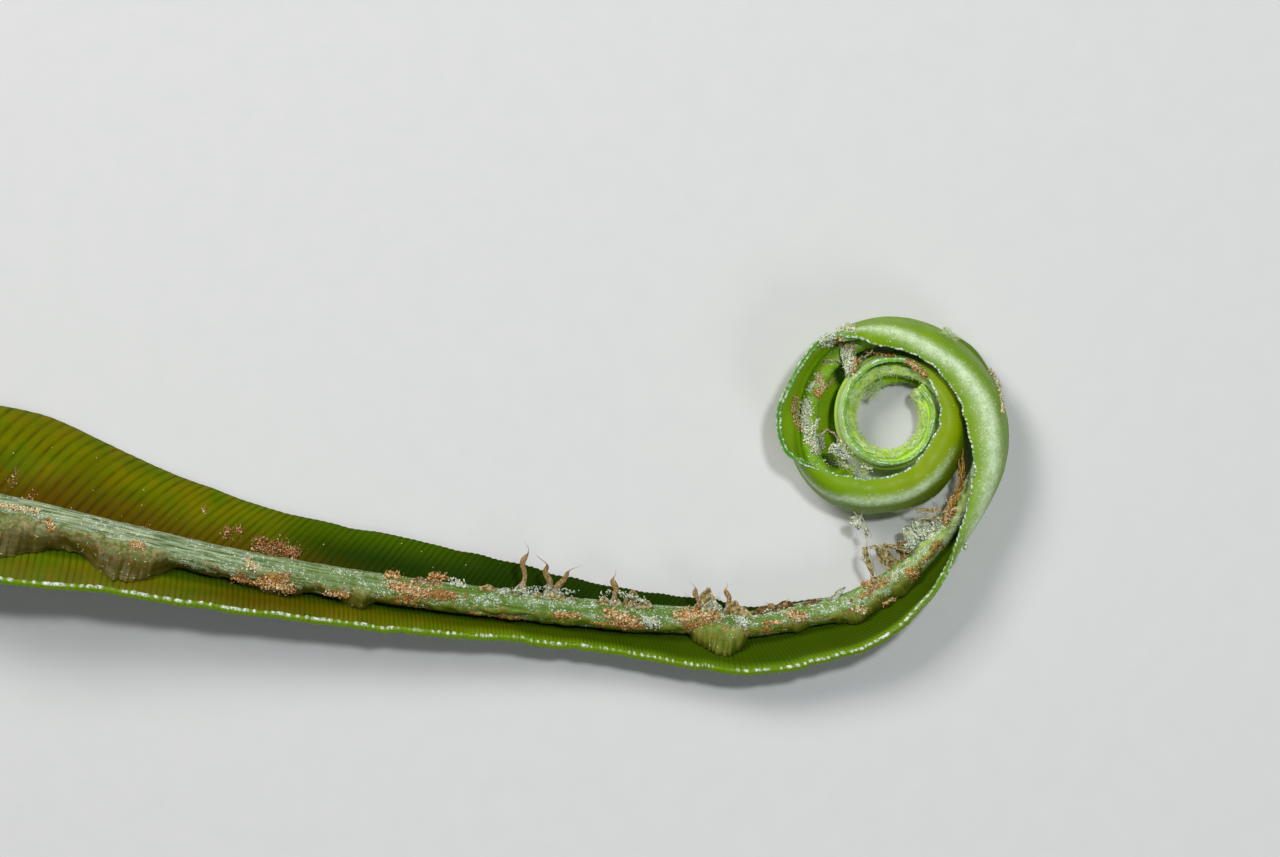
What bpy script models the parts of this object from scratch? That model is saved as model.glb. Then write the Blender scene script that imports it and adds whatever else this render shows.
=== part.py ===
"""Fern fiddlehead: the rolled tip of a young strap-shaped frond, picked and lying on its side.

The frond is one long strap leaf. A round midrib runs along the groove of a thick blade, whose two halves
rise on either side of it. Towards the tip the frond rolls up, upper face inwards, into a coil of a bit
more than two turns. Everything is in metres, +Z up, and the frond lies in the XY plane on Z = 0.

Places along the frond have one number. On the stem it goes up by 1 for each 10 mm: -11.7 is the cut foot
and -1 lies under the coil. In the coil it goes up by 1 for each quarter turn, from 0 at the coil's right
side to 8.5 at the tip. A section of the frond is drawn in two directions: n, towards the coil's middle,
which is where the upper face looks, and z, up.
"""

import math

import bmesh
import bpy
import numpy as np
from mathutils import Matrix

MM = 0.001

# Driving dimensions
BLADE_THICKNESS = 0.6 * MM
RIM_THICKNESS = 0.85 * MM
GROOVE_GAP = 0.3 * MM
COIL_HEIGHT = 3.5 * MM
ORIGIN_FROM_COIL = (-50.9 * MM, -8.0 * MM)
FOOT_PLACE = -11.7
TIP_PLACE = 8.5
COIL_FROM_PLACE = -0.34
RIDGE_PITCH = 2.4 * MM
RIDGE_HEIGHT = 0.16 * MM
COIL_ROWS_PER_QUARTER = 8
COLUMN_SHARES = (0.0, 0.2, 0.4, 0.62, 0.84, 1.0)
LOBE_THICKNESS = 0.6 * MM
LOBE_CLEARANCE = 0.95 * MM
SCALE_THICKNESS = 0.6 * MM
SCALE_SEED = 11

# The midrib's line on the stem: place, x, y in millimetres from the coil's middle
STEM_LINE = (
    (-11.7, -113.0, -4.8),
    (-9.27, -88.9, -9.1),
    (-6.72, -63.4, -15.0),
    (-4.27, -38.9, -18.6),
    (-2.27, -18.9, -20.3),
    (-1.37, -9.6, -20.0),
    (-1.10, -2.9, -18.3),
    (-0.90, 1.8, -15.3),
    (-0.65, 5.7, -11.0),
)
# The midrib's distance from the coil's middle: place, millimetres
COIL_RADIUS = (
    (-0.34, 10.75),
    (0.0, 9.7),
    (0.5, 8.3),
    (1.0, 8.05),
    (2.0, 8.0),
    (2.4, 8.7),
    (2.67, 8.5),
    (3.0, 7.65),
    (4.0, 6.2),
    (5.0, 4.8),
    (6.0, 3.95),
    (7.0, 3.85),
    (8.0, 3.55),
    (8.5, 3.45),
)
# The midrib's height over the coil's middle plane: place, millimetres
MIDRIB_RISE = (
    (-11.7, 4.85), (-9.3, 4.2), (-6.0, 1.3), (-3.0, -0.65), (-1.5, -0.5), (-0.4, 0.0), (8.5, 0.0),
)
MIDRIB_RADIUS = (
    (-11.7, 1.7), (-9.3, 1.5), (-4.0, 1.4), (-1.0, 1.2), (0.0, 1.05), (2.0, 0.85), (4.0, 0.7), (6.0, 0.45),
    (8.5, 0.22),
)
# How far the frond turns its upper face up from the coil's plane: place, degrees
TWIST = ((-11.7, 58), (-2.0, 62), (-1.2, 50), (-0.6, 25), (0.0, 0), (8.5, 0))

# The margins of the blade's halves, from the midrib's centre: place, n or z in millimetres
NEAR_MARGIN_N = (
    (-11.7, -2.6), (-10.8, -5.6), (-9.3, -6.9), (-8.0, -5.3), (-6.7, -4.4), (-5.4, -3.9), (-3.4, -3.4),
    (-2.8, -3.9), (-2.3, -4.6), (-1.3, -4.8), (-1.1, -4.5), (-0.9, -3.3), (-0.65, -1.4), (-0.34, 0.9),
    (0.0, 2.1), (0.5, 1.6), (1.0, 1.0), (1.25, -0.3), (1.45, -2.0), (1.72, -2.5), (2.0, -3.1), (2.2, -2.6),
    (2.33, -0.9), (2.5, 0.7), (2.75, 1.6), (3.25, 1.7), (3.5, 1.9), (4.0, 1.1), (4.5, 0.1), (5.0, -0.9),
    (5.5, -0.75), (6.0, -0.55), (6.5, -0.65), (8.5, -0.8),
)
NEAR_MARGIN_Z = (
    (-11.7, 1.6), (-9.3, 5.6), (-6.7, 3.6), (-3.4, 2.2), (-1.3, 3.0), (-0.65, 3.6), (0.0, 3.2), (1.0, 3.0),
    (2.0, 3.5), (3.0, 3.0), (4.0, 2.0), (5.0, 1.9), (6.0, 1.7), (8.5, 0.9),
)
FAR_MARGIN_N = (
    (-11.7, 3.0), (-10.8, 7.6), (-9.3, 9.8), (-8.0, 7.6), (-6.7, 5.8), (-5.4, 5.1), (-4.3, 4.1), (-3.3, 2.9),
    (-2.3, 2.1), (-1.5, 1.5), (-0.9, 0.6), (-0.3, -0.4), (0.39, -2.5), (0.6, -1.9), (1.0, -0.4), (1.5, 1.5),
    (2.0, 2.3), (2.4, 1.6), (2.7, 0.0), (3.0, -1.7), (3.33, -1.9), (3.75, -0.8), (4.2, 0.6), (5.0, 1.3),
    (5.5, 0.8), (7.0, 0.5), (8.5, 0.3),
)
FAR_MARGIN_Z = (
    (-11.7, -2.0), (-9.3, -7.4), (-6.7, -5.0), (-3.4, -2.5), (-1.3, -2.7), (0.0, -3.2), (1.0, -3.2),
    (2.0, -3.1), (3.0, -2.9), (4.0, -2.2), (5.0, -1.9), (6.0, -1.7), (8.5, -0.9),
)
# How strongly a half rolls over towards its margin, 1 in the coil and below 0 where it stays dished
NEAR_ROLL = (
    (-11.7, 0.0), (-9.3, -0.7), (-2.0, -0.4), (-1.0, 0.2), (-0.5, 0.9), (0.0, 1.0), (1.0, 1.0), (1.45, 0.1),
    (2.2, 0.1), (2.5, 0.9), (4.0, 0.7), (5.0, 0.2), (8.5, 0.2),
)
FAR_ROLL = (
    (-11.7, 0.0), (-9.3, -0.5), (-2.0, 0.2), (-0.5, 0.8), (0.39, 0.3), (1.2, 0.6), (2.4, 0.7), (3.0, 0.4),
    (4.0, 0.7), (5.0, 0.3), (8.5, 0.2),
)

# The papery lobes on the midrib's lower flank: place, half length in millimetres, share of the near half
# that they reach across
LOBES = (
    (-8.9, 4.0, 0.72), (-8.0, 3.7, 0.84), (-6.4, 2.5, 0.7), (-5.7, 2.9, 0.64), (-3.6, 2.9, 0.66),
    (-2.9, 2.8, 0.64), (-2.08, 3.6, 0.72), (-1.33, 2.2, 0.5),
)
# The tall scales on the midrib's upper edge: place, length in millimetres
TALL_SCALES = (
    (-4.07, 4.4), (-3.74, 2.9), (-3.64, 2.4), (-3.15, 1.9), (-2.9, 2.0), (-2.3, 1.9), (-2.15, 1.7),
    (-1.92, 2.2), (-1.75, 2.5), (-1.3, 1.8), (-1.02, 2.1), (-0.86, 2.5), (-0.72, 2.3), (-0.6, 2.1),
)


def hermite(x, y, slope, at):
    """The cubic curve that passes through y at x with the given slopes."""
    i = np.clip(np.searchsorted(x, at, side="right") - 1, 0, len(x) - 2)
    gap = x[i + 1] - x[i]
    t = np.clip((at - x[i]) / gap, 0.0, 1.0)
    if y.ndim > 1:
        t, gap = t[:, None], gap[:, None]
    start = y[i] * (1 + 2 * t) + slope[i] * gap * t
    end = y[i + 1] * (3 - 2 * t) - slope[i + 1] * gap * (1 - t)
    return start * (1 - t) ** 2 + end * t**2


def profile(keys, at):
    """A value along the frond, smooth through its keys and with no overshoot between them."""
    x, y = np.array(keys, float).T
    step = np.diff(y) / np.diff(x)
    product = step[1:] * step[:-1]
    total = np.where(product > 0, step[1:] + step[:-1], 1.0)
    inner = np.where(product > 0, 2 * product / total, 0.0)
    slope = np.concatenate([[step[0]], inner, [step[-1]]])
    return hermite(x, y, slope, np.asarray(at, float))


def midrib_line(at):
    """The midrib's centre at each place, as rows of x, y, z."""
    turns = np.arange(COIL_FROM_PLACE, TIP_PLACE + 0.2, 0.22)
    radius = profile(COIL_RADIUS, turns)
    angle = turns * math.pi / 2
    coil = np.column_stack([turns, radius * np.cos(angle), radius * np.sin(angle)])
    knots = np.vstack([np.array(STEM_LINE), coil])
    flat = hermite(knots[:, 0], knots[:, 1:], np.gradient(knots[:, 1:], knots[:, 0], axis=0), at)
    return np.column_stack([flat * MM - ORIGIN_FROM_COIL, COIL_HEIGHT + profile(MIDRIB_RISE, at) * MM])


def inward(at):
    """The n direction at each place: level, and square to the midrib."""
    reach = 0.02
    along = midrib_line(at + reach) - midrib_line(at - reach)
    level = np.hypot(along[:, 0], along[:, 1])
    return np.column_stack([-along[:, 1] / level, along[:, 0] / level, np.zeros(len(at))])


def half_section(at, share, near):
    """n and z of one half's middle surface, share 0 behind the midrib to 1 at the margin: a Bezier curve."""
    side = 1.0 if near else -1.0
    twist = np.radians(profile(TWIST, at))
    back = profile(MIDRIB_RADIUS, at) * MM + GROOVE_GAP + BLADE_THICKNESS / 2
    start = np.column_stack([-back * np.cos(twist), -back * np.sin(twist)])
    leave = side * np.column_stack([-np.sin(twist), np.cos(twist)])
    margin_n = NEAR_MARGIN_N if near else FAR_MARGIN_N
    margin_z = NEAR_MARGIN_Z if near else FAR_MARGIN_Z
    margin = np.column_stack([profile(margin_n, at), profile(margin_z, at)]) * MM
    roll = profile(NEAR_ROLL if near else FAR_ROLL, at)[:, None]
    width = np.linalg.norm(margin - start, axis=1)[:, None]
    first = start + leave * width * (0.42 + 0.12 * roll)
    second = margin + 0.35 * (start - margin) + roll * width * np.array([-0.28, 0.5 * side])
    t = share[:, None]
    return (
        start * (1 - t) ** 3
        + 3 * first * t * (1 - t) ** 2
        + 3 * second * t**2 * (1 - t)
        + margin * t**3
    )


def blade_point(at, share, near, lift):
    """Points of the blade's middle surface, raised by lift."""
    section = half_section(at, np.full(len(at), share), near)
    point = midrib_line(at) + inward(at) * section[:, :1]
    point[:, 2] += section[:, 1] + lift
    return point


def blade_rows():
    """The places of the blade's rows: two for each ridge on the stem, and evenly turned in the coil."""
    stem = np.arange(FOOT_PLACE, COIL_FROM_PLACE, RIDGE_PITCH / 2 / (10 * MM))
    coil = np.arange(COIL_FROM_PLACE, TIP_PLACE, 1 / COIL_ROWS_PER_QUARTER)
    return np.concatenate([stem, coil, [TIP_PLACE]])


def slant(rows):
    """How far along, in places, a ridge has run when it meets the margin. It fades out at both ends."""
    room = np.minimum(rows - FOOT_PLACE, TIP_PLACE - rows)
    return profile(((-11.7, 0.5), (-6.0, 0.35), (-1.0, 0.15), (8.5, 0.08)), rows) * np.clip(room, 0, 1)


def new_object(name, mesh, colour, roughness):
    """A visible object with its own material."""
    material = bpy.data.materials.new(name)
    material.use_nodes = True
    shader = material.node_tree.nodes["Principled BSDF"]
    shader.inputs["Base Color"].default_value = (*colour, 1.0)
    shader.inputs["Roughness"].default_value = roughness
    shader.inputs["Metallic"].default_value = 0.0
    mesh.materials.clear()
    mesh.materials.append(material)
    obj = bpy.data.objects.new(name, mesh)
    frond.objects.link(obj)
    return obj


def mesh_from(obj):
    """The object's evaluated mesh, as a mesh of its own."""
    bpy.context.view_layer.update()
    evaluated = obj.evaluated_get(bpy.context.evaluated_depsgraph_get())
    return bpy.data.meshes.new_from_object(evaluated)


def make_blade():
    """The blade: one open sheet from margin to margin round the midrib's back, given its thickness.

    It is pressed flat where it touches the surface that the frond lies on.
    """
    rows = blade_rows()
    columns = [(share, False) for share in reversed(COLUMN_SHARES[1:])]
    columns += [(share, True) for share in COLUMN_SHARES]
    on_stem = np.clip((-1.0 - rows) / 1.5, 0, 1) * np.clip((rows - FOOT_PLACE) / 0.5, 0, 1)
    ridge = np.where(np.arange(len(rows)) % 2 == 0, 0.5, -0.5) * RIDGE_HEIGHT * on_stem
    sheet = []
    for share, near in columns:
        sheet.append(blade_point(rows + slant(rows) * share, share, near, ridge * min(2 * share, 1)))
    sheet = np.array(sheet)
    across, along = sheet.shape[:2]
    shape = bmesh.new()
    corners = [shape.verts.new(point) for point in sheet.reshape(-1, 3)]
    for c in range(across - 1):
        for r in range(along - 1):
            a = c * along + r
            shape.faces.new([corners[a], corners[a + 1], corners[a + along + 1], corners[a + along]])
    bmesh.ops.triangulate(shape, faces=shape.faces)
    mesh = bpy.data.meshes.new("blade")
    shape.to_mesh(mesh)
    shape.free()
    mesh.shade_smooth()
    blade = new_object("blade", mesh, (0.13, 0.28, 0.02), 0.35)
    rim = blade.vertex_groups.new(name="rim")
    rim.add(list(range(along)) + list(range((across - 1) * along, across * along)), 1.0, "REPLACE")
    wall = blade.modifiers.new("thickness", "SOLIDIFY")
    wall.thickness = RIM_THICKNESS
    wall.offset = 0.0
    wall.vertex_group = rim.name
    wall.thickness_vertex_group = BLADE_THICKNESS / RIM_THICKNESS
    solid = mesh_from(blade)
    for vert in solid.vertices:
        vert.co.z = max(vert.co.z, 0.0)
    blade.modifiers.clear()
    blade.data = solid
    return blade


def make_tube():
    """The bare midrib: a tapering round tube along its line, as a mesh."""
    places = np.concatenate([
        np.arange(FOOT_PLACE, -2.0, 0.4),
        np.arange(-2.0, COIL_FROM_PLACE, 0.16),
        np.arange(COIL_FROM_PLACE, TIP_PLACE - 0.1, 1 / 7),
    ])
    line = midrib_line(places)
    radius = profile(MIDRIB_RADIUS, places) * MM
    curve = bpy.data.curves.new("midrib_line", "CURVE")
    curve.dimensions = "3D"
    curve.bevel_depth = 1.0
    curve.bevel_resolution = 3
    curve.use_fill_caps = True
    spline = curve.splines.new("POLY")
    spline.points.add(len(places) - 1)
    for point, centre, thick in zip(spline.points, line, radius):
        point.co = (*centre, 1.0)
        point.radius = thick
    tube = bpy.data.objects.new("midrib_line", curve)
    frond.objects.link(tube)
    mesh = mesh_from(tube)
    bpy.data.objects.remove(tube)
    bpy.data.curves.remove(curve)
    shape = bmesh.new()
    shape.from_mesh(mesh)
    bmesh.ops.remove_doubles(shape, verts=shape.verts, dist=0.01 * MM)
    bmesh.ops.recalc_face_normals(shape, faces=shape.faces)
    shape.to_mesh(mesh)
    shape.free()
    return mesh


def add_outgrowth(shape, place, outward, sink):
    """Puts a shape, made along +Z from its root, on the midrib. It points along outward, an n and z pair."""
    at = np.array([place])
    n = inward(at)[0]
    out = outward[0] * n + np.array([0, 0, outward[1]])
    out /= np.linalg.norm(out)
    along = np.cross(n, [0, 0, 1])
    across = np.cross(out, along)
    root = midrib_line(at)[0] + out * sink
    frame = Matrix([[*row] for row in np.column_stack([along, across, out, root])] + [[0, 0, 0, 1]])
    shape.transform(frame)
    mesh = bpy.data.meshes.new("outgrowth")
    bmesh.ops.recalc_face_normals(shape, faces=shape.faces)
    shape.to_mesh(mesh)
    shape.free()
    outgrowths.objects.link(bpy.data.objects.new("outgrowth", mesh))


def add_scale(place, angle, length, width, lean):
    """A flat pointed scale. The angle goes round the midrib in degrees, 0 at the upper face and 90 on top."""
    radius = float(profile(MIDRIB_RADIUS, place)) * MM
    sink = 0.4 * radius
    tall = radius - sink + length
    shape = bmesh.new()
    bmesh.ops.create_uvsphere(shape, u_segments=6, v_segments=4, radius=0.5)
    for vert in shape.verts:
        up = vert.co.z + 0.5
        vert.co.x = vert.co.x * width * (1.3 - 0.7 * up) + up * lean * tall
        vert.co.y *= SCALE_THICKNESS
        vert.co.z = up * tall
    turn = math.radians(angle)
    add_outgrowth(shape, place, (math.cos(turn), math.sin(turn)), sink)


def add_lobe(place, half_length, share):
    """A flat round lobe from inside the midrib to just over the near half of the blade."""
    wall = half_section(np.array([place, place]), np.array([share, share + 0.01]), True)
    run = (wall[1] - wall[0]) / np.linalg.norm(wall[1] - wall[0])
    end = wall[0] + LOBE_CLEARANCE * np.array([run[1], -run[0]])
    reach = np.linalg.norm(end)
    shape = bmesh.new()
    bmesh.ops.create_cone(shape, cap_ends=True, segments=12, radius1=1.0, radius2=1.0, depth=1.0)
    for vert in shape.verts:
        x, y, z = vert.co
        vert.co = (x * half_length * MM, z * LOBE_THICKNESS, (y + 1) * reach / 2)
    add_outgrowth(shape, place, end / reach, 0.0)


def make_midrib():
    """The midrib with its scales and lobes, joined in one body."""
    draw = np.random.default_rng(SCALE_SEED)
    for place, half_length, share in LOBES:
        add_lobe(place, half_length, share)
    for i, (place, length) in enumerate(TALL_SCALES):
        add_scale(place, draw.uniform(15, 45), length * MM, 1.1 * MM, 0.25 if i % 2 else -0.15)
    for place in np.arange(-10.4, -4.3, 0.5):
        add_scale(place, draw.uniform(10, 50), draw.uniform(0.7, 1.2) * MM, 1.6 * MM, draw.uniform(-0.4, 0.4))
    for place in np.arange(1.2, 3.3, 0.22):
        add_scale(place, draw.uniform(35, 80), draw.uniform(0.4, 0.8) * MM, 1.4 * MM, draw.uniform(-0.4, 0.4))
    for place in np.arange(4.9, 8.3, 0.35):
        add_scale(place, draw.uniform(-10, 50), draw.uniform(0.3, 0.5) * MM, 1.0 * MM, draw.normal(0, 0.15))
    midrib = new_object("midrib", make_tube(), (0.36, 0.45, 0.25), 0.5)
    union = midrib.modifiers.new("outgrowths", "BOOLEAN")
    union.operation = "UNION"
    union.operand_type = "COLLECTION"
    union.collection = outgrowths
    joined = mesh_from(midrib)
    midrib.modifiers.clear()
    midrib.data = joined
    for piece in list(outgrowths.objects):
        bpy.data.objects.remove(piece)
    joined.shade_smooth()
    joined.set_sharp_from_angle(angle=math.radians(40))
    return midrib


for old in list(bpy.data.objects):
    bpy.data.objects.remove(old)
frond = bpy.data.collections.new("fern_fiddlehead")
outgrowths = bpy.data.collections.new("outgrowths")
bpy.context.scene.collection.children.link(frond)
bpy.context.scene.collection.children.link(outgrowths)
make_blade()
make_midrib()
bpy.data.collections.remove(outgrowths)
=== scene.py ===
# %% [markdown]
# # A fern fiddlehead
# A young strap-leaved fern frond lies on its side, and its tip is still rolled up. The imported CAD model
# gives its size and its two solids, the blade and the midrib. This lesson puts a finer surface in the place
# of each, then adds the small things that the solids leave out: shiny beaded rims, papery scales, silvery
# scurf, threads.

# %% Load the fixed frame
import math

import bpy
import numpy as np
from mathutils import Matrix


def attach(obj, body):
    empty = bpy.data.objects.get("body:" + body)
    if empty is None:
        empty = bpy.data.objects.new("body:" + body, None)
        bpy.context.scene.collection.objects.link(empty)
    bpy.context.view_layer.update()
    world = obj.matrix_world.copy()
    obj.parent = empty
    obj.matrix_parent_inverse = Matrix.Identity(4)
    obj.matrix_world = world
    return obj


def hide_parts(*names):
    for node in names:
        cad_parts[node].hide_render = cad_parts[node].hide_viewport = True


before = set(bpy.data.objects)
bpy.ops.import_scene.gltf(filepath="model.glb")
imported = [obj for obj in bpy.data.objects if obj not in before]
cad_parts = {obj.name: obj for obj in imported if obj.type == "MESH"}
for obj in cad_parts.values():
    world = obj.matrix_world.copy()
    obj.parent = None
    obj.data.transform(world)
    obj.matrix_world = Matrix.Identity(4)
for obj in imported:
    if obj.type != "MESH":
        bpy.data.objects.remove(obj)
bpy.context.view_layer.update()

MM = 0.001

# %% [markdown]
# ## Camera, floor and light
# The frond is seen from straight above, along the axis of its coil. A long lens keeps the view almost free
# of perspective. The frame is 128 mm wide, so one of its 1280 pixels is a tenth of a millimetre on the
# frond. The cut foot lies outside the frame on the left, as the plant goes on there.

# %% Camera
FRAME_WIDTH = 128 * MM
LENS = 200.0
SENSOR = 36.0

camera_data = bpy.data.cameras.new("camera")
camera_data.lens = LENS
camera_data.sensor_width = SENSOR
camera_data.clip_start = 0.01
camera_data.clip_end = 20.0
camera = bpy.data.objects.new("camera", camera_data)
camera.location = (26.0 * MM, 6.85 * MM, 4.0 * MM + FRAME_WIDTH * LENS / SENSOR)
bpy.context.collection.objects.link(camera)
bpy.context.scene.camera = camera
bpy.context.scene.view_settings.view_transform = "Standard"
print("camera height in mm:", round(camera.location.z / MM, 1))

# %% [markdown]
# A large soft lamp from the upper left gives the form its shade. A small one near the camera gives moist
# parts their points of light, a weak one from the lower right softens the far side, and a dim sky fills the
# shadows.

# %% Lamps
def lamp(name, place, size, watts, tint):
    """A square area lamp at a place in metres, turned towards the middle of the picture."""
    data = bpy.data.lights.new(name, "AREA")
    data.size = size
    data.energy = watts
    data.color = tint
    thing = bpy.data.objects.new(name, data)
    thing.location = place
    aim = camera.location.copy()
    aim.z = 0.0
    thing.rotation_euler = (aim - thing.location).to_track_quat("-Z", "Y").to_euler()
    bpy.context.collection.objects.link(thing)


lamp("soft_lamp", (-0.25, 0.30, 0.45), 0.24, 2.2, (1.0, 0.98, 0.95))
lamp("glint_lamp", (0.14, 0.12, 0.52), 0.05, 1.1, (0.95, 0.98, 1.0))
lamp("fill_lamp", (0.30, -0.34, 0.36), 0.20, 0.45, (0.95, 0.98, 1.0))

sky = bpy.data.worlds.new("sky")
sky.use_nodes = True
sky.node_tree.nodes["Background"].inputs["Color"].default_value = (0.85, 0.9, 1.0, 1.0)
sky.node_tree.nodes["Background"].inputs["Strength"].default_value = 0.10
bpy.context.scene.world = sky

# %% [markdown]
# ## Building blocks
# Every piece below is a surface worked out with numpy and then handed to Blender in one go. The first
# helpers make a mesh and join the points of a grid with faces. The others build node materials, a node or
# two at a time.

# %% Mesh from arrays
def make_piece(name, points, faces, material, uv=None, marks=None):
    """Makes one object from points (n, 3) and faces (m, 3 or 4), both arrays.

    uv holds two numbers a point. marks holds named numbers a point, which materials read as attributes.
    """
    mesh = bpy.data.meshes.new(name)
    corners = faces.astype(np.int32).ravel()
    mesh.vertices.add(len(points))
    mesh.vertices.foreach_set("co", np.ascontiguousarray(points, dtype=np.float32).ravel())
    mesh.loops.add(len(corners))
    mesh.loops.foreach_set("vertex_index", corners)
    mesh.polygons.add(len(faces))
    mesh.polygons.foreach_set("loop_start", np.arange(0, len(corners), faces.shape[1], dtype=np.int32))
    mesh.polygons.foreach_set("use_smooth", np.ones(len(faces), dtype=bool))
    if uv is not None:
        layer = mesh.uv_layers.new(name="place_map")
        layer.uv.foreach_set("vector", uv[corners].astype(np.float32).ravel())
    for mark, values in (marks or {}).items():
        layer = mesh.attributes.new(mark, "FLOAT", "POINT")
        layer.data.foreach_set("value", np.broadcast_to(values, len(points)).astype(np.float32).ravel())
    mesh.update(calc_edges=True)
    mesh.validate()
    mesh.materials.append(material)
    thing = bpy.data.objects.new(name, mesh)
    bpy.context.collection.objects.link(thing)
    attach(thing, "root")
    print(name, "has", sum(len(p.vertices) - 2 for p in mesh.polygons), "triangles")
    return thing


def tube_faces(rows, around):
    """Quads of a tube: point i of a row meets point i + 1, and the last one of a row meets the first."""
    row, spot = np.meshgrid(np.arange(rows - 1), np.arange(around), indexing="ij")
    here = row * around + spot
    beside = row * around + (spot + 1) % around
    return np.stack([here, beside, beside + around, here + around], axis=-1).reshape(-1, 4)


def lid_faces(rows, around):
    """Quads that close both ends of a tube whose ring runs out along one side and back along the other."""
    half = around // 2
    spot = np.arange(half - 1)
    ring = np.stack([spot, around - 1 - spot, around - 2 - spot, spot + 1], axis=-1)
    return np.concatenate([ring, ring[:, ::-1] + (rows - 1) * around])


def closed_tube(rows, around, turned=False):
    """Quads of a tube with both ends closed. A turned one has its faces the other way round."""
    faces = np.concatenate([tube_faces(rows, around), lid_faces(rows, around)])
    return faces[:, ::-1] if turned else faces


# %% Materials from nodes
def screen(red, green, blue):
    """The linear colour that a screen shows as these three numbers from 0 to 255."""
    share = np.array([red, green, blue]) / 255.0
    linear = np.where(share < 0.04045, share / 12.92, ((share + 0.055) / 1.055) ** 2.4)
    return (*linear.tolist(), 1.0)


def new_material(name):
    """An empty node material: gives the material, its node tree and its main shader."""
    material = bpy.data.materials.new(name)
    material.use_nodes = True
    tree = material.node_tree
    return material, tree, tree.nodes["Principled BSDF"]


def feed(tree, socket, value):
    """Links an output to a socket, or sets the socket to a plain value."""
    if isinstance(value, bpy.types.NodeSocket):
        tree.links.new(value, socket)
    else:
        socket.default_value = value


def node(tree, kind, settings=None, feeds=None):
    """Adds a node of a kind, sets its own choices, and feeds its inputs by name or number."""
    made = tree.nodes.new(kind)
    for key, value in (settings or {}).items():
        setattr(made, key, value)
    for key, value in (feeds or {}).items():
        feed(tree, made.inputs[key], value)
    return made


def mark(tree, name):
    """The value that make_piece stored under this name."""
    return node(tree, "ShaderNodeAttribute", {"attribute_name": name}).outputs["Fac"]


def sums(tree, operation, *values):
    """One step of arithmetic on numbers or outputs."""
    return node(tree, "ShaderNodeMath", {"operation": operation}, dict(enumerate(values))).outputs[0]


def times(tree, first, second):
    """The product of two numbers or outputs."""
    return sums(tree, "MULTIPLY", first, second)


def plus(tree, first, second):
    """The sum of two numbers or outputs."""
    return sums(tree, "ADD", first, second)


def stretch(tree, value, low, high, to_low=0.0, to_high=1.0):
    """Moves a value from one range to another, and stops it at the ends."""
    feeds = {0: value, 1: low, 2: high, 3: to_low, 4: to_high}
    return node(tree, "ShaderNodeMapRange", None, feeds).outputs[0]


def mix(tree, amount, first, second, kind="MIX"):
    """Mixes two colours by an amount from 0 to 1."""
    settings = {"data_type": "RGBA", "blend_type": kind}
    return node(tree, "ShaderNodeMix", settings, {0: amount, 6: first, 7: second}).outputs[2]


def own_space(tree):
    """The position on the piece in metres."""
    return node(tree, "ShaderNodeTexCoord").outputs["Object"]


def clouds(tree, place, size, detail=2.0):
    """Soft noise from 0 to 1, with spots about as large as size in metres."""
    feeds = {"Vector": place, "Scale": 1.0 / size, "Detail": detail}
    return node(tree, "ShaderNodeTexNoise", None, feeds).outputs["Fac"]


def spots(tree, place, size, detail, low=0.36, high=0.62):
    """Clouds with more contrast: 0 where they are below low and 1 where they are above high."""
    return stretch(tree, clouds(tree, place, size, detail), low, high)


def place_map(tree):
    """The piece's own UV map: how far along the frond a point lies, and how far across."""
    return node(tree, "ShaderNodeUVMap", {"uv_map": "place_map"}).outputs[0]


def strands(tree, lengthwise, crosswise, detail=2.0):
    """Noise drawn out along the frond: both scales say how many spots fit in one unit of the place map."""
    feeds = {"Vector": place_map(tree), "Scale": (lengthwise, crosswise, 1.0)}
    drawn = node(tree, "ShaderNodeMapping", None, feeds).outputs[0]
    return clouds(tree, drawn, 1.0, detail)


def grains(tree, place, size):
    """Random cells of a size in metres: the distance to a cell's middle, and a random number for each."""
    made = node(tree, "ShaderNodeTexVoronoi", None, {"Vector": place, "Scale": 1.0 / size})
    split = node(tree, "ShaderNodeSeparateColor", None, {0: made.outputs["Color"]})
    return made.outputs["Distance"], split.outputs[0]


def bumped(tree, shader, height, depth, strength=1.0):
    """Lets a height from 0 to 1 stand depth metres high in the shading."""
    feeds = {"Height": height, "Distance": depth, "Strength": strength}
    feed(tree, shader.inputs["Normal"], node(tree, "ShaderNodeBump", None, feeds).outputs[0])


def coloured(tree, shader, colour, roughness, mirror=0.5):
    """Feeds the shader its colour, its roughness and how strongly it mirrors light."""
    feed(tree, shader.inputs["Base Color"], colour)
    feed(tree, shader.inputs["Roughness"], roughness)
    feed(tree, shader.inputs["Specular IOR Level"], mirror)


# %% [markdown]
# The floor is a plain pale sheet with a hint of paper grain, far larger than the frond, and it is not
# attached to the frond's body.

# %% Floor
floor_paint, tree, shader = new_material("pale_floor")
paper = clouds(tree, own_space(tree), 3 * MM)
coloured(tree, shader, mix(tree, paper, (0.72, 0.73, 0.72, 1.0), (0.76, 0.76, 0.75, 1.0)), 0.9)

reach = 3.0
floor_mesh = bpy.data.meshes.new("floor")
floor_mesh.from_pydata(
    [(-reach, -reach, 0.0), (reach, -reach, 0.0), (reach, reach, 0.0), (-reach, reach, 0.0)],
    [],
    [(0, 1, 2, 3)],
)
floor_mesh.materials.append(floor_paint)
floor = bpy.data.objects.new("floor", floor_mesh)
bpy.context.collection.objects.link(floor)

# %% [markdown]
# ## The frond's route
# One number, the place, runs along the frond. On the stem a unit of it is about 10 mm, and in the coil it
# is a quarter of a turn, with 0 at the coil's right side. The tables are the frond's own sizes, the same
# ones that shape the solids. A smooth curve that never overshoots runs through the values of each table.

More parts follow.
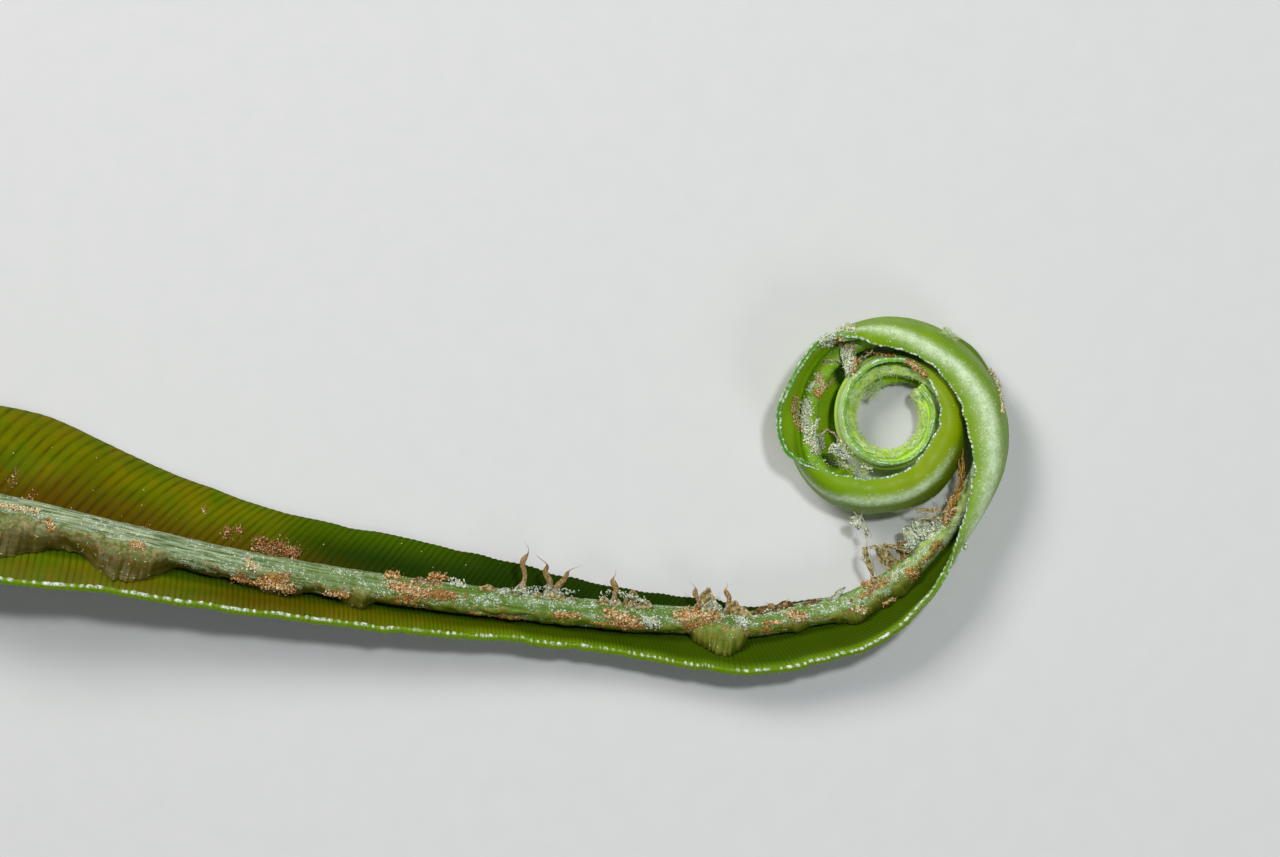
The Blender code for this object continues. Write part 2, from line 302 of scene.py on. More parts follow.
# %% Tables of the route
COIL_HEIGHT = 3.5 * MM
ORIGIN_FROM_COIL = np.array([-50.9, -8.0]) * MM
FOOT_PLACE = -11.7
TIP_PLACE = 8.5
COIL_FROM_PLACE = -0.34
COIL_KNOT_GAP = 0.22
PLACE_STEP = 0.02

STEM_LINE = (
    (-11.7, -113.0, -4.8),
    (-9.27, -88.9, -9.1),
    (-6.72, -63.4, -15.0),
    (-4.27, -38.9, -18.6),
    (-2.27, -18.9, -20.3),
    (-1.37, -9.6, -20.0),
    (-1.10, -2.9, -18.3),
    (-0.90, 1.8, -15.3),
    (-0.65, 5.7, -11.0),
)
COIL_RADIUS = (
    (-0.34, 10.75), (0.0, 9.7), (0.5, 8.3), (1.0, 8.05), (2.0, 8.0), (2.4, 8.7), (2.67, 8.5),
    (3.0, 7.65), (4.0, 6.2), (5.0, 4.8), (6.0, 3.95), (7.0, 3.85), (8.0, 3.55), (8.5, 3.45),
)
MIDRIB_RISE = ((-11.7, 4.85), (-9.3, 4.2), (-6.0, 1.3), (-3.0, -0.65), (-1.5, -0.5), (-0.4, 0.0), (8.5, 0.0))
MIDRIB_RADIUS = (
    (-11.7, 1.7), (-9.3, 1.5), (-4.0, 1.4), (-1.0, 1.2), (0.0, 1.05),
    (2.0, 0.85), (4.0, 0.7), (6.0, 0.45), (8.5, 0.22),
)


# %% Smooth curves through a table
def hermite(x, y, slope, at):
    """Cubic curve through the values y at x with the slopes given there.

    In each gap the two ends are mixed by (1 - t)^2 and t^2, where t goes from 0 to 1 across the gap.
    """
    i = np.clip(np.searchsorted(x, at, side="right") - 1, 0, len(x) - 2)
    gap = x[i + 1] - x[i]
    t = np.clip((at - x[i]) / gap, 0.0, 1.0)
    if y.ndim > 1:
        t = t[..., None]
        gap = gap[..., None]
    start = y[i] * (1 + 2 * t) + slope[i] * gap * t
    end = y[i + 1] * (3 - 2 * t) - slope[i + 1] * gap * (1 - t)
    return start * (1 - t) ** 2 + end * t**2


def along(keys, at):
    """Value of a table at each place.

    The slope at a key is the harmonic mean of the slopes on its two sides.
    """
    x, y = np.array(keys, float).T
    step = np.diff(y) / np.diff(x)
    product = step[1:] * step[:-1]
    total = np.where(product > 0, step[1:] + step[:-1], 1.0)
    inner = np.where(product > 0, 2 * product / total, 0.0)
    slope = np.concatenate([[step[0]], inner, [step[-1]]])
    return hermite(x, y, slope, np.asarray(at, float))


def midrib_line(at):
    """Middle of the midrib in metres: the stem's table, then a spiral whose radius follows its own table."""
    turns = np.arange(COIL_FROM_PLACE, TIP_PLACE + 0.2, COIL_KNOT_GAP)
    radius = along(COIL_RADIUS, turns)
    angle = turns * math.pi / 2
    coil = np.column_stack([turns, radius * np.cos(angle), radius * np.sin(angle)])
    knots = np.vstack([np.array(STEM_LINE), coil])
    slope = np.gradient(knots[:, 1:], knots[:, 0], axis=0)
    flat = hermite(knots[:, 0], knots[:, 1:], slope, np.asarray(at, float))
    height = COIL_HEIGHT + along(MIDRIB_RISE, at) * MM
    return np.concatenate([flat * MM - ORIGIN_FROM_COIL, height[..., None]], axis=-1)


def unit(vectors):
    """The same directions with length 1."""
    return vectors / np.maximum(np.linalg.norm(vectors, axis=-1, keepdims=True), 1e-12)


def heading(at):
    """Direction of the route at each place, from a short step before it to a short step after it."""
    at = np.asarray(at, float)
    return unit(midrib_line(at + PLACE_STEP) - midrib_line(at - PLACE_STEP))


def inward(at):
    """Level direction across the frond, towards the coil's middle: the heading turned a quarter left."""
    ahead = heading(at)
    level = np.hypot(ahead[..., 0], ahead[..., 1])
    return np.stack([-ahead[..., 1] / level, ahead[..., 0] / level, np.zeros_like(level)], axis=-1)


ruler = np.linspace(FOOT_PLACE, TIP_PLACE, 6001)
steps = np.linalg.norm(np.diff(midrib_line(ruler), axis=0), axis=1)
run = np.concatenate([[0.0], np.cumsum(steps)])
print("midrib length in mm:", round(run[-1] / MM, 1))

# %% [markdown]
# ## The two halves of the blade
# The leaf wraps round the midrib like a gutter. The half near the camera rises on one side and the far half
# on the other. Each cross-section is a cubic curve from behind the midrib to the margin, whose four control
# points follow the tables below. The first number after a place is in mm from the midrib, and a roll of 1
# turns the margin in over the midrib.

# %% Tables of the blade
TWIST = ((-11.7, 58), (-2.0, 62), (-1.2, 50), (-0.6, 25), (0.0, 0), (8.5, 0))
NEAR_MARGIN_N = (
    (-11.7, -2.6), (-10.8, -5.6), (-9.3, -6.9), (-8.0, -5.3), (-6.7, -4.4), (-5.4, -3.9), (-3.4, -3.4),
    (-2.8, -3.9), (-2.3, -4.6), (-1.3, -4.8), (-1.1, -4.5), (-0.9, -3.3), (-0.65, -1.4), (-0.34, 0.9),
    (0.0, 2.1), (0.5, 1.6), (1.0, 1.0), (1.25, -0.3), (1.45, -2.0), (1.72, -2.5), (2.0, -3.1), (2.2, -2.6),
    (2.33, -0.9), (2.5, 0.7), (2.75, 1.6), (3.25, 1.7), (3.5, 1.9), (4.0, 1.1), (4.5, 0.1), (5.0, -0.9),
    (5.5, -0.75), (6.0, -0.55), (6.5, -0.65), (8.5, -0.8),
)
NEAR_MARGIN_Z = (
    (-11.7, 1.6), (-9.3, 5.6), (-6.7, 3.6), (-3.4, 2.2), (-1.3, 3.0), (-0.65, 3.6), (0.0, 3.2),
    (1.0, 3.0), (2.0, 3.5), (3.0, 3.0), (4.0, 2.0), (5.0, 1.9), (6.0, 1.7), (8.5, 0.9),
)
FAR_MARGIN_N = (
    (-11.7, 3.0), (-10.8, 7.6), (-9.3, 9.8), (-8.0, 7.6), (-6.7, 5.8), (-5.4, 5.1), (-4.3, 4.1),
    (-3.3, 2.9), (-2.3, 2.1), (-1.5, 1.5), (-0.9, 0.6), (-0.3, -0.4), (0.39, -2.5), (0.6, -1.9),
    (1.0, -0.4), (1.3, 1.4), (1.6, 2.8), (1.8, 3.0), (2.0, 2.5), (2.2, 2.6), (2.4, 2.7), (2.6, 2.1),
    (2.8, 0.8), (3.0, -1.7), (3.33, -1.9), (3.75, -0.8), (4.2, 0.6), (5.0, 1.3), (5.5, 0.8), (7.0, 0.5),
    (8.5, 0.3),
)
FAR_MARGIN_Z = (
    (-11.7, -2.0), (-9.3, -7.4), (-6.7, -5.0), (-3.4, -2.5), (-1.3, -2.7), (0.0, -3.2), (1.0, -3.2),
    (2.0, -3.1), (3.0, -2.9), (4.0, -2.2), (5.0, -1.9), (6.0, -1.7), (8.5, -0.9),
)
NEAR_ROLL = (
    (-11.7, 0.0), (-9.3, -0.7), (-2.0, -0.4), (-1.0, 0.2), (-0.5, 0.9), (0.0, 1.0), (1.0, 1.0),
    (1.45, 0.1), (2.2, 0.1), (2.5, 0.9), (4.0, 0.7), (5.0, 0.2), (8.5, 0.2),
)
FAR_ROLL = (
    (-11.7, 0.0), (-9.3, -0.5), (-2.0, 0.2), (-0.5, 0.8), (0.39, 0.3), (1.2, 0.6), (2.4, 0.7),
    (3.0, 0.4), (4.0, 0.7), (5.0, 0.3), (8.5, 0.2),
)


# %% Middle surface of the blade
def blade_middle(at, share, near):
    """Point in the middle of the leaf's thickness, at a place and a share of the way to the margin.

    The section is a cubic curve: start (1 - t)^3 + 3 first t (1 - t)^2 + 3 second t^2 (1 - t) + margin t^3.
    It leaves from behind the midrib at the angle of the twist and bends to the margin.
    """
    side = 1.0 if near else -1.0
    twist = np.radians(along(TWIST, at))
    back = (along(MIDRIB_RADIUS, at) + 0.6) * MM
    start = np.stack([-back * np.cos(twist), -back * np.sin(twist)], axis=-1)
    leave = side * np.stack([-np.sin(twist), np.cos(twist)], axis=-1)
    margin_n = along(NEAR_MARGIN_N if near else FAR_MARGIN_N, at)
    margin_z = along(NEAR_MARGIN_Z if near else FAR_MARGIN_Z, at)
    margin = np.stack([margin_n, margin_z], axis=-1) * MM
    roll = along(NEAR_ROLL if near else FAR_ROLL, at)[..., None]
    width = np.linalg.norm(margin - start, axis=-1, keepdims=True)
    first = start + leave * width * (0.42 + 0.12 * roll)
    second = margin + 0.35 * (start - margin) + roll * width * np.array([-0.28, 0.5 * side])
    t = np.asarray(share, float)[..., None]
    flat = start * (1 - t) ** 3 + 3 * first * t * (1 - t) ** 2
    flat = flat + 3 * second * t**2 * (1 - t) + margin * t**3
    point = midrib_line(at) + inward(at) * flat[..., :1]
    point[..., 2] += flat[..., 1]
    return point


# %% [markdown]
# ### Side veins
# Fine parallel veins run from the midrib to the margin, with soft ribs of leaf between them. They are 0.8 mm
# apart near the foot and 0.3 mm in the coil, which is still unfolding. The rows of the mesh follow the veins,
# so the ribs are real shape and no row cuts across one. On the far half they lean forwards.

# %% Vein count and slant
VEIN_GAP = ((-11.7, 0.80), (-9.3, 0.73), (-6.4, 0.50), (-3.0, 0.36), (-1.0, 0.34), (8.5, 0.32))
FAR_SLANT = ((-11.7, 0.45), (-9.3, 0.62), (-6.0, 0.38), (-3.0, 0.20), (-1.0, 0.12), (8.5, 0.06))
NEAR_SLANT = ((-11.7, 0.10), (-6.0, 0.09), (-1.0, 0.08), (8.5, 0.05))

between = (ruler[1:] + ruler[:-1]) / 2
counted = np.concatenate([[0.0], np.cumsum(steps / (along(VEIN_GAP, between) * MM))])
last_stem_vein = np.interp(-0.4, ruler, counted)
quarters = np.arange(0.0, last_stem_vein, 0.25)
thirds = np.arange(quarters[-1] + 1 / 3, counted[-1], 1 / 3)
vein_rows = np.concatenate([quarters, thirds, counted[-1:]])
row_places = np.interp(vein_rows, counted, ruler)
print("side veins:", int(counted[-1]), "rows:", len(vein_rows))


def ripples(seed, finest, coarsest, *coordinates, waves=14):
    """Smooth noise of about -1 to 1: the mean of sine waves whose lengths lie between two sizes."""
    rng = np.random.default_rng(seed)
    total = 0.0
    for _ in range(waves):
        way = rng.normal(size=len(coordinates))
        way *= 2 * math.pi / rng.uniform(finest, coarsest) / np.linalg.norm(way)
        total = total + np.sin(sum(w * c for w, c in zip(way, coordinates)) + rng.uniform(0, 2 * math.pi))
    return total / math.sqrt(waves)


def ramp(value, low, high):
    """Goes smoothly from 0 at low to 1 at high."""
    t = np.clip((value - low) / (high - low), 0.0, 1.0)
    return t * t * (3 - 2 * t)


def hill(value, middle, width):
    """A bell that is 1 at the middle and fades over the width."""
    return np.exp(-(((value - middle) / width) ** 2))


# %% [markdown]
# ### Shells with thickness
# A half is one closed shell: out along its upper face, round the margin and back along its lower face, with
# both ends closed. It is a little over 0.4 mm thick, and fuller behind the midrib, where leaf and midrib are
# one body. The lower face swells there into a low keel, as the back of a real frond does.

# %% Blade halves as grids
SHARES = np.concatenate([[0.0, 0.006, 0.03], np.linspace(0.08, 0.94, 15), [0.965, 0.985, 1.0]])
LEAF_HALF = 0.21 * MM
ROOT_SWELL = 0.42 * MM
KEEL_SWELL = 0.26 * MM
FAR_VEIN_SHARE = 0.62
RIB_HEIGHT = ((-11.7, 0.085), (-8.0, 0.075), (-4.0, 0.045), (-1.0, 0.020), (0.0, 0.008), (8.5, 0.004))


def half_grid(near):
    """Middle surface of a half as rows by shares, with the direction of its upper face and of its margin."""
    side = 1.0 if near else -1.0
    room = np.clip(np.minimum(row_places - FOOT_PLACE, TIP_PLACE - row_places), 0.0, 1.0)
    lean = along(NEAR_SLANT if near else FAR_SLANT, row_places) * room
    at = row_places[:, None] + lean[:, None] * SHARES[None, :]
    share = np.broadcast_to(SHARES, at.shape)
    middle = blade_middle(at, share, near)
    forward = np.gradient(middle, axis=0)
    outward = unit(np.gradient(middle, axis=1))
    up = unit(np.cross(outward, forward)) * side
    return at, share, middle, up, outward


def wavy_margin(near, veins, at, share, middle, up, outward):
    """Moves the grid's outer part: each vein ends in a small tooth, and the whole margin waves gently."""
    tooth = np.cos(2 * math.pi * veins) * (0.02 if near else 0.04)
    uneven = ripples(21 + near, 1.8 if near else 2.0, 6.0 if near else 9.0, veins, share * 0.5) * 0.08
    if not near:
        tooth = tooth + ripples(23, 1.0, 3.5, veins) * 0.11 * ramp(at, 3.8, 5.0)
    wave = ripples(31 + near, 9.0, 40.0, veins, share * 0.5) * 0.10
    edge = ramp(share, 0.80, 1.0)
    moved = middle + outward * ((tooth + uneven) * edge * MM)[..., None]
    return moved + up * (wave * ramp(share, 0.35, 1.0) * MM)[..., None]


def out_and_back(grid):
    """One number for each point of a shell: a grid's values on the way out, and the same on the way back."""
    return np.concatenate([grid, grid[:, ::-1]], axis=1).ravel()


def make_half(name, near, material):
    """Builds one half: middle surface plus and minus its thickness, with a soft rib between veins."""
    at, share, middle, up, outward = half_grid(near)
    rows = vein_rows[:, None] * np.ones_like(share)
    veins = rows * (1.0 if near else FAR_VEIN_SHARE)
    middle = wavy_margin(near, veins, at, share, middle, up, outward)
    phase = veins + (0.05 if near else 0.16) * ripples(45 + near, 4.0, 18.0, veins, share * 4)
    rib = np.abs(np.sin(math.pi * phase)) ** (0.5 if near else 0.8)
    calm = ramp(share, 0.02, 0.15) * (1 - 0.5 * ramp(share, 0.9, 1.0))
    relief = rib * along(RIB_HEIGHT, at) * MM * calm
    bumps = ripples(41 + near, 3.0, 14.0, rows, share * 9) * 0.02 * MM
    upper = LEAF_HALF + ROOT_SWELL * hill(share, 0.0, 0.10) + relief + bumps
    lower = LEAF_HALF + KEEL_SWELL * hill(share, 0.0, 0.12) + 0.7 * relief - bumps
    top = middle + up * upper[..., None]
    under = middle - up * lower[..., None]
    ring = np.concatenate([top, under[:, ::-1]], axis=1)
    points = ring.reshape(-1, 3)
    points[:, 2] = np.maximum(points[:, 2], 0.0)
    faces = closed_tube(*ring.shape[:2], turned=not near)
    backside = np.concatenate([np.zeros_like(share), np.ones_like(share)], axis=1).ravel()
    marks = leaf_marks(near, out_and_back(at), out_and_back(share), backside)
    marks["rib"] = out_and_back(rib)
    uv = np.column_stack([out_and_back(veins), out_and_back(share)])
    return make_piece(name, points, faces, material, uv, marks), (at, middle, up, outward)


# %% [markdown]
# ### Where each leaf colour sits
# The leaf isn't one green. Near the foot the far half is olive yellow, with brown beside the midrib, and it
# turns deep green towards the coil, a green darkened by painted shade where the half tilts away from the
# light.
# The coil's young outer faces are bright yellow-green, and its inner faces fresh green, lightened by painted
# light in the coil's hollows. Each mark below is a number from 0 to 1 that says how much of one colour there
# is at a point. The silver bands on the coil's crests are silvery scurf made whiter by a painted highlight
# where a crest faces the light. They have tables of their own: where they run, how wide they are and how
# strong.

# %% Colour marks on the leaf
# Tables of the silver bands, silvery scurf with a painted highlight: where they run across the near half, how
# wide and how strong.
NEAR_HIGHLIGHT_BAND = (
    (-1.3, 0.80), (-0.7, 0.60), (-0.35, 0.64), (0.0, 0.65), (0.2, 0.70), (0.4, 0.74), (0.65, 0.80),
    (0.9, 0.74), (1.1, 0.62), (1.4, 0.50), (2.3, 0.20), (2.6, 0.42), (2.75, 0.54), (3.5, 0.53),
    (5.0, 0.60), (8.5, 0.60),
)
HIGHLIGHT_BAND_WIDTH = (
    (-1.3, 0.10), (-0.7, 0.19), (-0.3, 0.18), (0.1, 0.15), (0.5, 0.11), (1.3, 0.12),
    (2.3, 0.12), (3.0, 0.11), (3.6, 0.09), (5.0, 0.30), (8.5, 0.30),
)
HIGHLIGHT_BAND_AMOUNT = (
    (-11.7, 0.0), (-1.35, 0.0), (-0.9, 0.55), (-0.55, 0.85), (-0.2, 1.0), (0.5, 1.0), (1.15, 0.8), (1.4, 0.3),
    (1.7, 0.05), (2.2, 0.1), (2.45, 0.8), (3.2, 1.0), (3.5, 0.5), (3.8, 0.0), (4.8, 0.1), (5.4, 0.75),
    (6.6, 0.7), (7.2, 0.4), (8.5, 0.4),
)
NEAR_DARK_TO = ((-11.7, 0.50), (-7.0, 0.55), (-4.5, 0.74), (-2.0, 0.84), (-0.6, 0.70), (8.5, 0.5))


def leaf_marks(near, place, share, backside):
    """The amount of olive, brown, deep green and painted shade, silver with painted highlight, and other
    colours at each point of a half.
    """
    drift = ripples(51, 0.4, 1.6, place, share * 0.7)
    coil = ramp(place, -1.3, -0.5)
    second = coil * ramp(place, 2.5, 3.3) * (1 - ramp(place, 4.4, 5.0))
    if near:
        olive = (1 - ramp(place, -6.0, -2.8)) * ramp(share, 0.40, 0.85) * 0.9
        brown = hill(place, -6.6, 0.6) * hill(share, 0.75, 0.25) * 0.6
        # Near half: darker from the midrib out to the share that NEAR_DARK_TO gives.
        dark_to = along(NEAR_DARK_TO, place)
        late = np.where(backside > 0.5, 1 - coil, 1 - ramp(place, -0.7, 0.3))
        deep_and_shade = late * (1 - ramp(share, dark_to, dark_to + 0.22)) * 0.95
        # Painted shade: the lower right of the second turn's outer face, which is turned away from the light,
        # is darkened.
        deep_and_shade = np.maximum(deep_and_shade, backside * hill(place, 3.6, 0.42) * (1 - ramp(share, 0.34, 0.52)) * 0.6)
        # Silver band on the outer face: silvery scurf with a painted highlight along the crest.
        band = hill(share, along(NEAR_HIGHLIGHT_BAND, place), along(HIGHLIGHT_BAND_WIDTH, place))
        silver = along(HIGHLIGHT_BAND_AMOUNT, place) * band * backside
    else:
        olive = (1 - ramp(place, -7.6, -5.6)) * (0.92 - 0.12 * share)
        brown = (1 - ramp(share, 0.15, 0.70 + 0.14 * drift)) * (1 - ramp(place, -6.6, -5.2)) * 0.95
        paler_edge = 0.25 * ramp(share, 0.5, 1.0) * (1 - ramp(place, -5.5, -4.0))
        # Far half: deep green towards the coil, its own colour and also painted shade where the half tilts
        # away from the light.
        deep_and_shade = ramp(place, -8.0, -6.0) * (1 - coil) * (1 - paler_edge)
        deep_and_shade = np.maximum(deep_and_shade, coil * backside * (1 - ramp(place, 1.2, 1.8)) * 0.25)
        silver = np.zeros_like(place)
    # The innermost turns and the coil's inner faces get lighter colours: partly their own young green, partly
    # painted light that lifts the shade deep in the coil.
    inner = ramp(place, 4.9, 5.6)
    inside_lightened = coil * (1 - backside) * (1 - inner)
    keel = hill(share, 0.0, 0.07) * backside * (1 - coil)
    return {
        "olive": olive, "brown": brown, "deep_and_shade": deep_and_shade, "inside_lightened": inside_lightened, "silver": silver, "keel": keel,
        "second": second, "inner": inner, "coil": coil,
    }


# %% Leaf skin
def leaf_skin(name, deep_and_shade_green, mirror):
    """Leaf colour from the marks, with painted shade in the grooves along the veins, satin, and silvery
    grains in the bands with a painted highlight and painted glints.
    """
    material, tree, shader = new_material(name)
    space = own_space(tree)
    patches = clouds(tree, space, 2.5 * MM, 3.0)
    coil = mark(tree, "coil")
    fresh = mix(tree, patches, screen(112, 152, 12), screen(134, 170, 24))
    # Inner faces of the coil: their fresh green, lightened as painted light that lifts the shade in the
    # coil's hollows.
    fresh_inside_lightened = mix(tree, patches, screen(124, 176, 8), screen(158, 194, 26))
    colour = mix(tree, mark(tree, "inside_lightened"), fresh, fresh_inside_lightened)
    second = mix(tree, patches, screen(124, 154, 1), screen(144, 168, 4))
    colour = mix(tree, mark(tree, "second"), colour, second)
    # The innermost turns: young lime, lightened as painted light deep in the coil.
    inner = mix(tree, patches, screen(174, 216, 66), screen(212, 242, 116))
    colour = mix(tree, mark(tree, "inner"), colour, inner)
    colour = mix(tree, mark(tree, "deep_and_shade"), colour, deep_and_shade_green)
    stripes = stretch(tree, strands(tree, 0.55, 1.6), 0.36, 0.64)
    olive = mix(tree, stretch(tree, patches, 0.36, 0.62), screen(78, 100, 1), screen(114, 104, 1))
    olive = mix(tree, times(tree, stripes, 0.5), olive, screen(112, 84, 1))
    colour = mix(tree, mark(tree, "olive"), colour, olive)
    brown = mix(tree, clouds(tree, space, 1.2 * MM, 4.0), screen(92, 54, 1), screen(84, 72, 1))
    colour = mix(tree, mark(tree, "brown"), colour, brown)
    # Painted shade: the grooves along the veins are darkened, less so in the coil.
    groove_shade = stretch(tree, mark(tree, "rib"), 0.85, 0.15)
    fade = stretch(tree, clouds(tree, space, 2.0 * MM, 3.0), 0.35, 0.65, 0.45, 1.0)
    depth = times(tree, fade, stretch(tree, coil, 0.0, 1.0, 0.55, 0.12))
    colour = mix(tree, times(tree, groove_shade, depth), colour, screen(26, 30, 1))
    colour = mix(tree, mark(tree, "keel"), colour, screen(140, 150, 90))
    # Silver bands: silvery scurf whitened further by a painted highlight where the crest faces the light.
    distance, chance = grains(tree, space, 0.11 * MM)
    clumps = spots(tree, space, 0.8 * MM, 3.0)
    fine = spots(tree, space, 0.28 * MM, 3.0)
    uneven = plus(tree, times(tree, clumps, 0.32), times(tree, fine, 0.26))
    cover = times(tree, mark(tree, "silver"), plus(tree, 0.46, uneven))
    # Painted glints: a share of the grains in the bands are whitened.
    painted_glint = sums(tree, "LESS_THAN", chance, times(tree, cover, 0.30))
    colour = mix(tree, cover, colour, screen(226, 248, 200))
    colour = mix(tree, times(tree, painted_glint, 0.50), colour, screen(234, 250, 230))
    satin = stretch(tree, clouds(tree, space, 0.6 * MM, 2.0), 0.3, 0.7, 0.30, 0.46)
    coloured(tree, shader, colour, satin, mirror)
    domes = times(tree, painted_glint, sums(tree, "SUBTRACT", 1.0, distance))
    grain = plus(tree, times(tree, clouds(tree, space, 0.12 * MM, 2.0), 0.5), domes)
    bumped(tree, shader, grain, 0.03 * MM, 0.6)
    return material


# The second colour is the deep green, which also carries painted shade.
NEAR_LEAF_SKIN = leaf_skin("near_leaf_skin", screen(60, 84, 3), 0.12)
FAR_LEAF_SKIN = leaf_skin("far_leaf_skin", screen(34, 58, 1), 0.01)

# %% Make the two halves
near_half, near_grid = make_half("blade_near_half", True, NEAR_LEAF_SKIN)
far_half, far_grid = make_half("blade_far_half", False, FAR_LEAF_SKIN)
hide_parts("blade")
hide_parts("blade")

# %% [markdown]
# ## Rims
# Both margins end in a thick smooth border. On the near one two ridges run side by side, beaded and moist.
# A painted highlight whitens their beads into rows of small bright dots: on the ridge that faces up along the
# stem, and on both ridges in the coil. The rim is a tube along the margin whose section is shaped like a
# peanut, so that it has those two ridges. Its radius swells and shrinks from bead to bead.

# %% Rim tubes
NEAR_RIM_SIZE = ((-11.7, 0.20), (-9.0, 0.27), (-1.0, 0.25), (0.0, 0.20), (4.0, 0.18), (8.5, 0.13))
RIM_LOBES = ((-11.7, 0.24), (-6.0, 0.22), (-2.0, 0.14), (-0.5, 0.04), (8.5, 0.0))
SLOW_BEADS = ((-11.7, 0.6), (-1.1, 0.6), (-0.5, 1.0), (8.5, 1.0))
FAR_RIM_SHARE = 0.55


def full_turn(around):
    """Angles that divide one full turn evenly."""
    return np.linspace(0.0, 2 * math.pi, around, endpoint=False)


def ring_round(turn, side, other):
    """Directions round a path: cos(turn) * side + sin(turn) * other, in each row of the path."""
    return np.cos(turn)[None, :, None] * side[:, None] + np.sin(turn)[None, :, None] * other[:, None]


def blunt_ends(rows, reach):
    """Rises from 0 at both ends to 1 within reach rows, as the square root does, so that an end is round."""
    row = np.arange(rows)
    return np.sqrt(np.clip(np.minimum(row, row[::-1]) / reach, 0.0, 1.0))


def make_rim(name, grid, near, material):
    """A tube on the margin: radius = size * beads * (1 + 0.42 cos(2 (turn - a quarter)))."""
    at, middle, up, outward = (part[:, -1] for part in grid)
    rows, around = len(vein_rows), 14 if near else 8
    turn = full_turn(around)
    slow = ripples(62 + near, 4.0, 14.0, vein_rows, waves=8) * along(SLOW_BEADS, at)
    beads = ripples(61 + near, 0.9, 2.2, vein_rows, waves=10) + slow
    size = along(NEAR_RIM_SIZE, at) * (1.0 if near else FAR_RIM_SHARE)
    bead = 1 + 0.10 * np.clip(beads, -1.5, 1.8)
    ends = blunt_ends(rows, 4.0)
    peanut = 1.0 + 0.42 * np.cos(2 * (turn - math.pi / 2))
    radius = (size * bead * np.maximum(ends, 0.02))[:, None] * peanut
    if near:
        lobes = np.sin(math.pi * vein_rows) ** 2 * along(RIM_LOBES, at)
        radius = radius + (lobes * ends)[:, None] * np.maximum(np.cos(turn), 0.0)
    centre = middle - outward * 0.05 * MM
    points = centre[:, None] + ring_round(turn, outward, up) * (radius * MM)[..., None]
    points[..., 2] = np.maximum(points[..., 2], 0.0)
    faces = closed_tube(rows, around, turned=near)
    coil = ramp(at, -1.1, -0.5)[:, None]
    # Painted highlight: the beads of the ridge that faces up, and in the coil of both ridges, are whitened.
    highlight_crest = ramp(np.sin(turn), 0.45, 0.9)[None, :] + coil * ramp(-np.sin(turn), 0.45, 0.9)[None, :]
    dense = ramp(-at, 4.0, 7.0) * 0.45 + ramp(at, -1.8, -1.1) * 0.7
    coil_bead_highlight = 0.16 + 0.84 * ramp(beads, -0.45, 0.45)[:, None]
    bead_highlight = ramp(beads + dense, 0.1, 0.9)[:, None] * (1 - coil) + coil * coil_bead_highlight
    inner = np.repeat(ramp(at, 3.9, 4.7), around)
    marks = {"bead_highlight": (highlight_crest * bead_highlight).ravel(), "coil": np.repeat(coil, around), "inner": inner}
    uv = np.column_stack([np.repeat(vein_rows, around), np.tile(turn / (2 * math.pi), rows)])
    return make_piece(name, points.reshape(-1, 3), faces, material, uv, marks)


def rim_skin(name, pale, stem_green, coil_green, gloss, coat):
    """A green border with a painted highlight on its beads, near white on the near rim and light olive on the
    far one, almost wet.
    """
    material, tree, shader = new_material(name)
    space = own_space(tree)
    broken = clouds(tree, space, 0.22 * MM, 2.0)
    green = mix(tree, mark(tree, "coil"), stem_green, coil_green)
    green = mix(tree, mark(tree, "inner"), green, screen(132, 192, 60))
    # Painted highlight: the beads are mixed towards the pale colour where the mark picks them.
    amount = times(tree, mark(tree, "bead_highlight"), stretch(tree, broken, 0.40, 0.54, 0.10, 1.0))
    moist = stretch(tree, broken, 0.3, 0.7, gloss, gloss + 0.15)
    coloured(tree, shader, mix(tree, amount, green, pale), moist, 0.15)
    bumped(tree, shader, clouds(tree, space, 0.12 * MM, 1.0), 0.02 * MM, 0.6)
    shader.inputs["Coat Weight"].default_value = coat
    shader.inputs["Coat Roughness"].default_value = 0.08
    return material


# The first colour of each set is the painted highlight on the rim's beads.
NEAR_RIM_HIGHLIGHT_AND_GREENS = screen(236, 244, 236), screen(112, 144, 14), screen(78, 140, 6)
FAR_RIM_HIGHLIGHT_AND_GREENS = screen(104, 96, 20), screen(62, 62, 2), screen(140, 190, 40)
NEAR_RIM_SKIN = rim_skin("near_rim_skin", *NEAR_RIM_HIGHLIGHT_AND_GREENS, 0.14, 0.15)
FAR_RIM_SKIN = rim_skin("far_rim_skin", *FAR_RIM_HIGHLIGHT_AND_GREENS, 0.5, 0.0)
near_rim = make_rim("near_rim", near_grid, True, NEAR_RIM_SKIN)
make_rim("far_rim", far_grid, False, FAR_RIM_SKIN)

# %% [markdown]
# ## Midrib
# The stalk in the gutter is round, grey-green and finely ridged along its length. Scurf covers it in
# silvery grains and in rust-brown crusts. It is a tube along the route. Its radius has fourteen shallow
# ridges, and it swells a little under each crust.

# %% Where the crusts sit
# Each row is a place, an angle round the midrib (0 points across to the far side, 90 up, 180 to the near
# side), a half length along the stem in mm and a half width in degrees.
CRUSTS = (
    (-8.80, 128, 1.3, 26), (-7.72, 155, 0.8, 24), (-6.85, 150, 1.0, 26), (-6.45, 120, 1.6, 30),
    (-5.90, 150, 1.6, 24), (-5.20, 120, 2.2, 34), (-4.92, 80, 1.8, 30), (-4.35, 160, 3.2, 18),
    (-3.62, 155, 0.9, 20), (-3.25, 130, 0.8, 22), (-2.98, 125, 2.4, 30), (-2.20, 120, 2.8, 32),
    (-1.48, 135, 2.0, 24), (-1.16, 140, 0.8, 20), (-1.02, 70, 0.9, 22), (-0.80, 115, 1.0, 18),
)


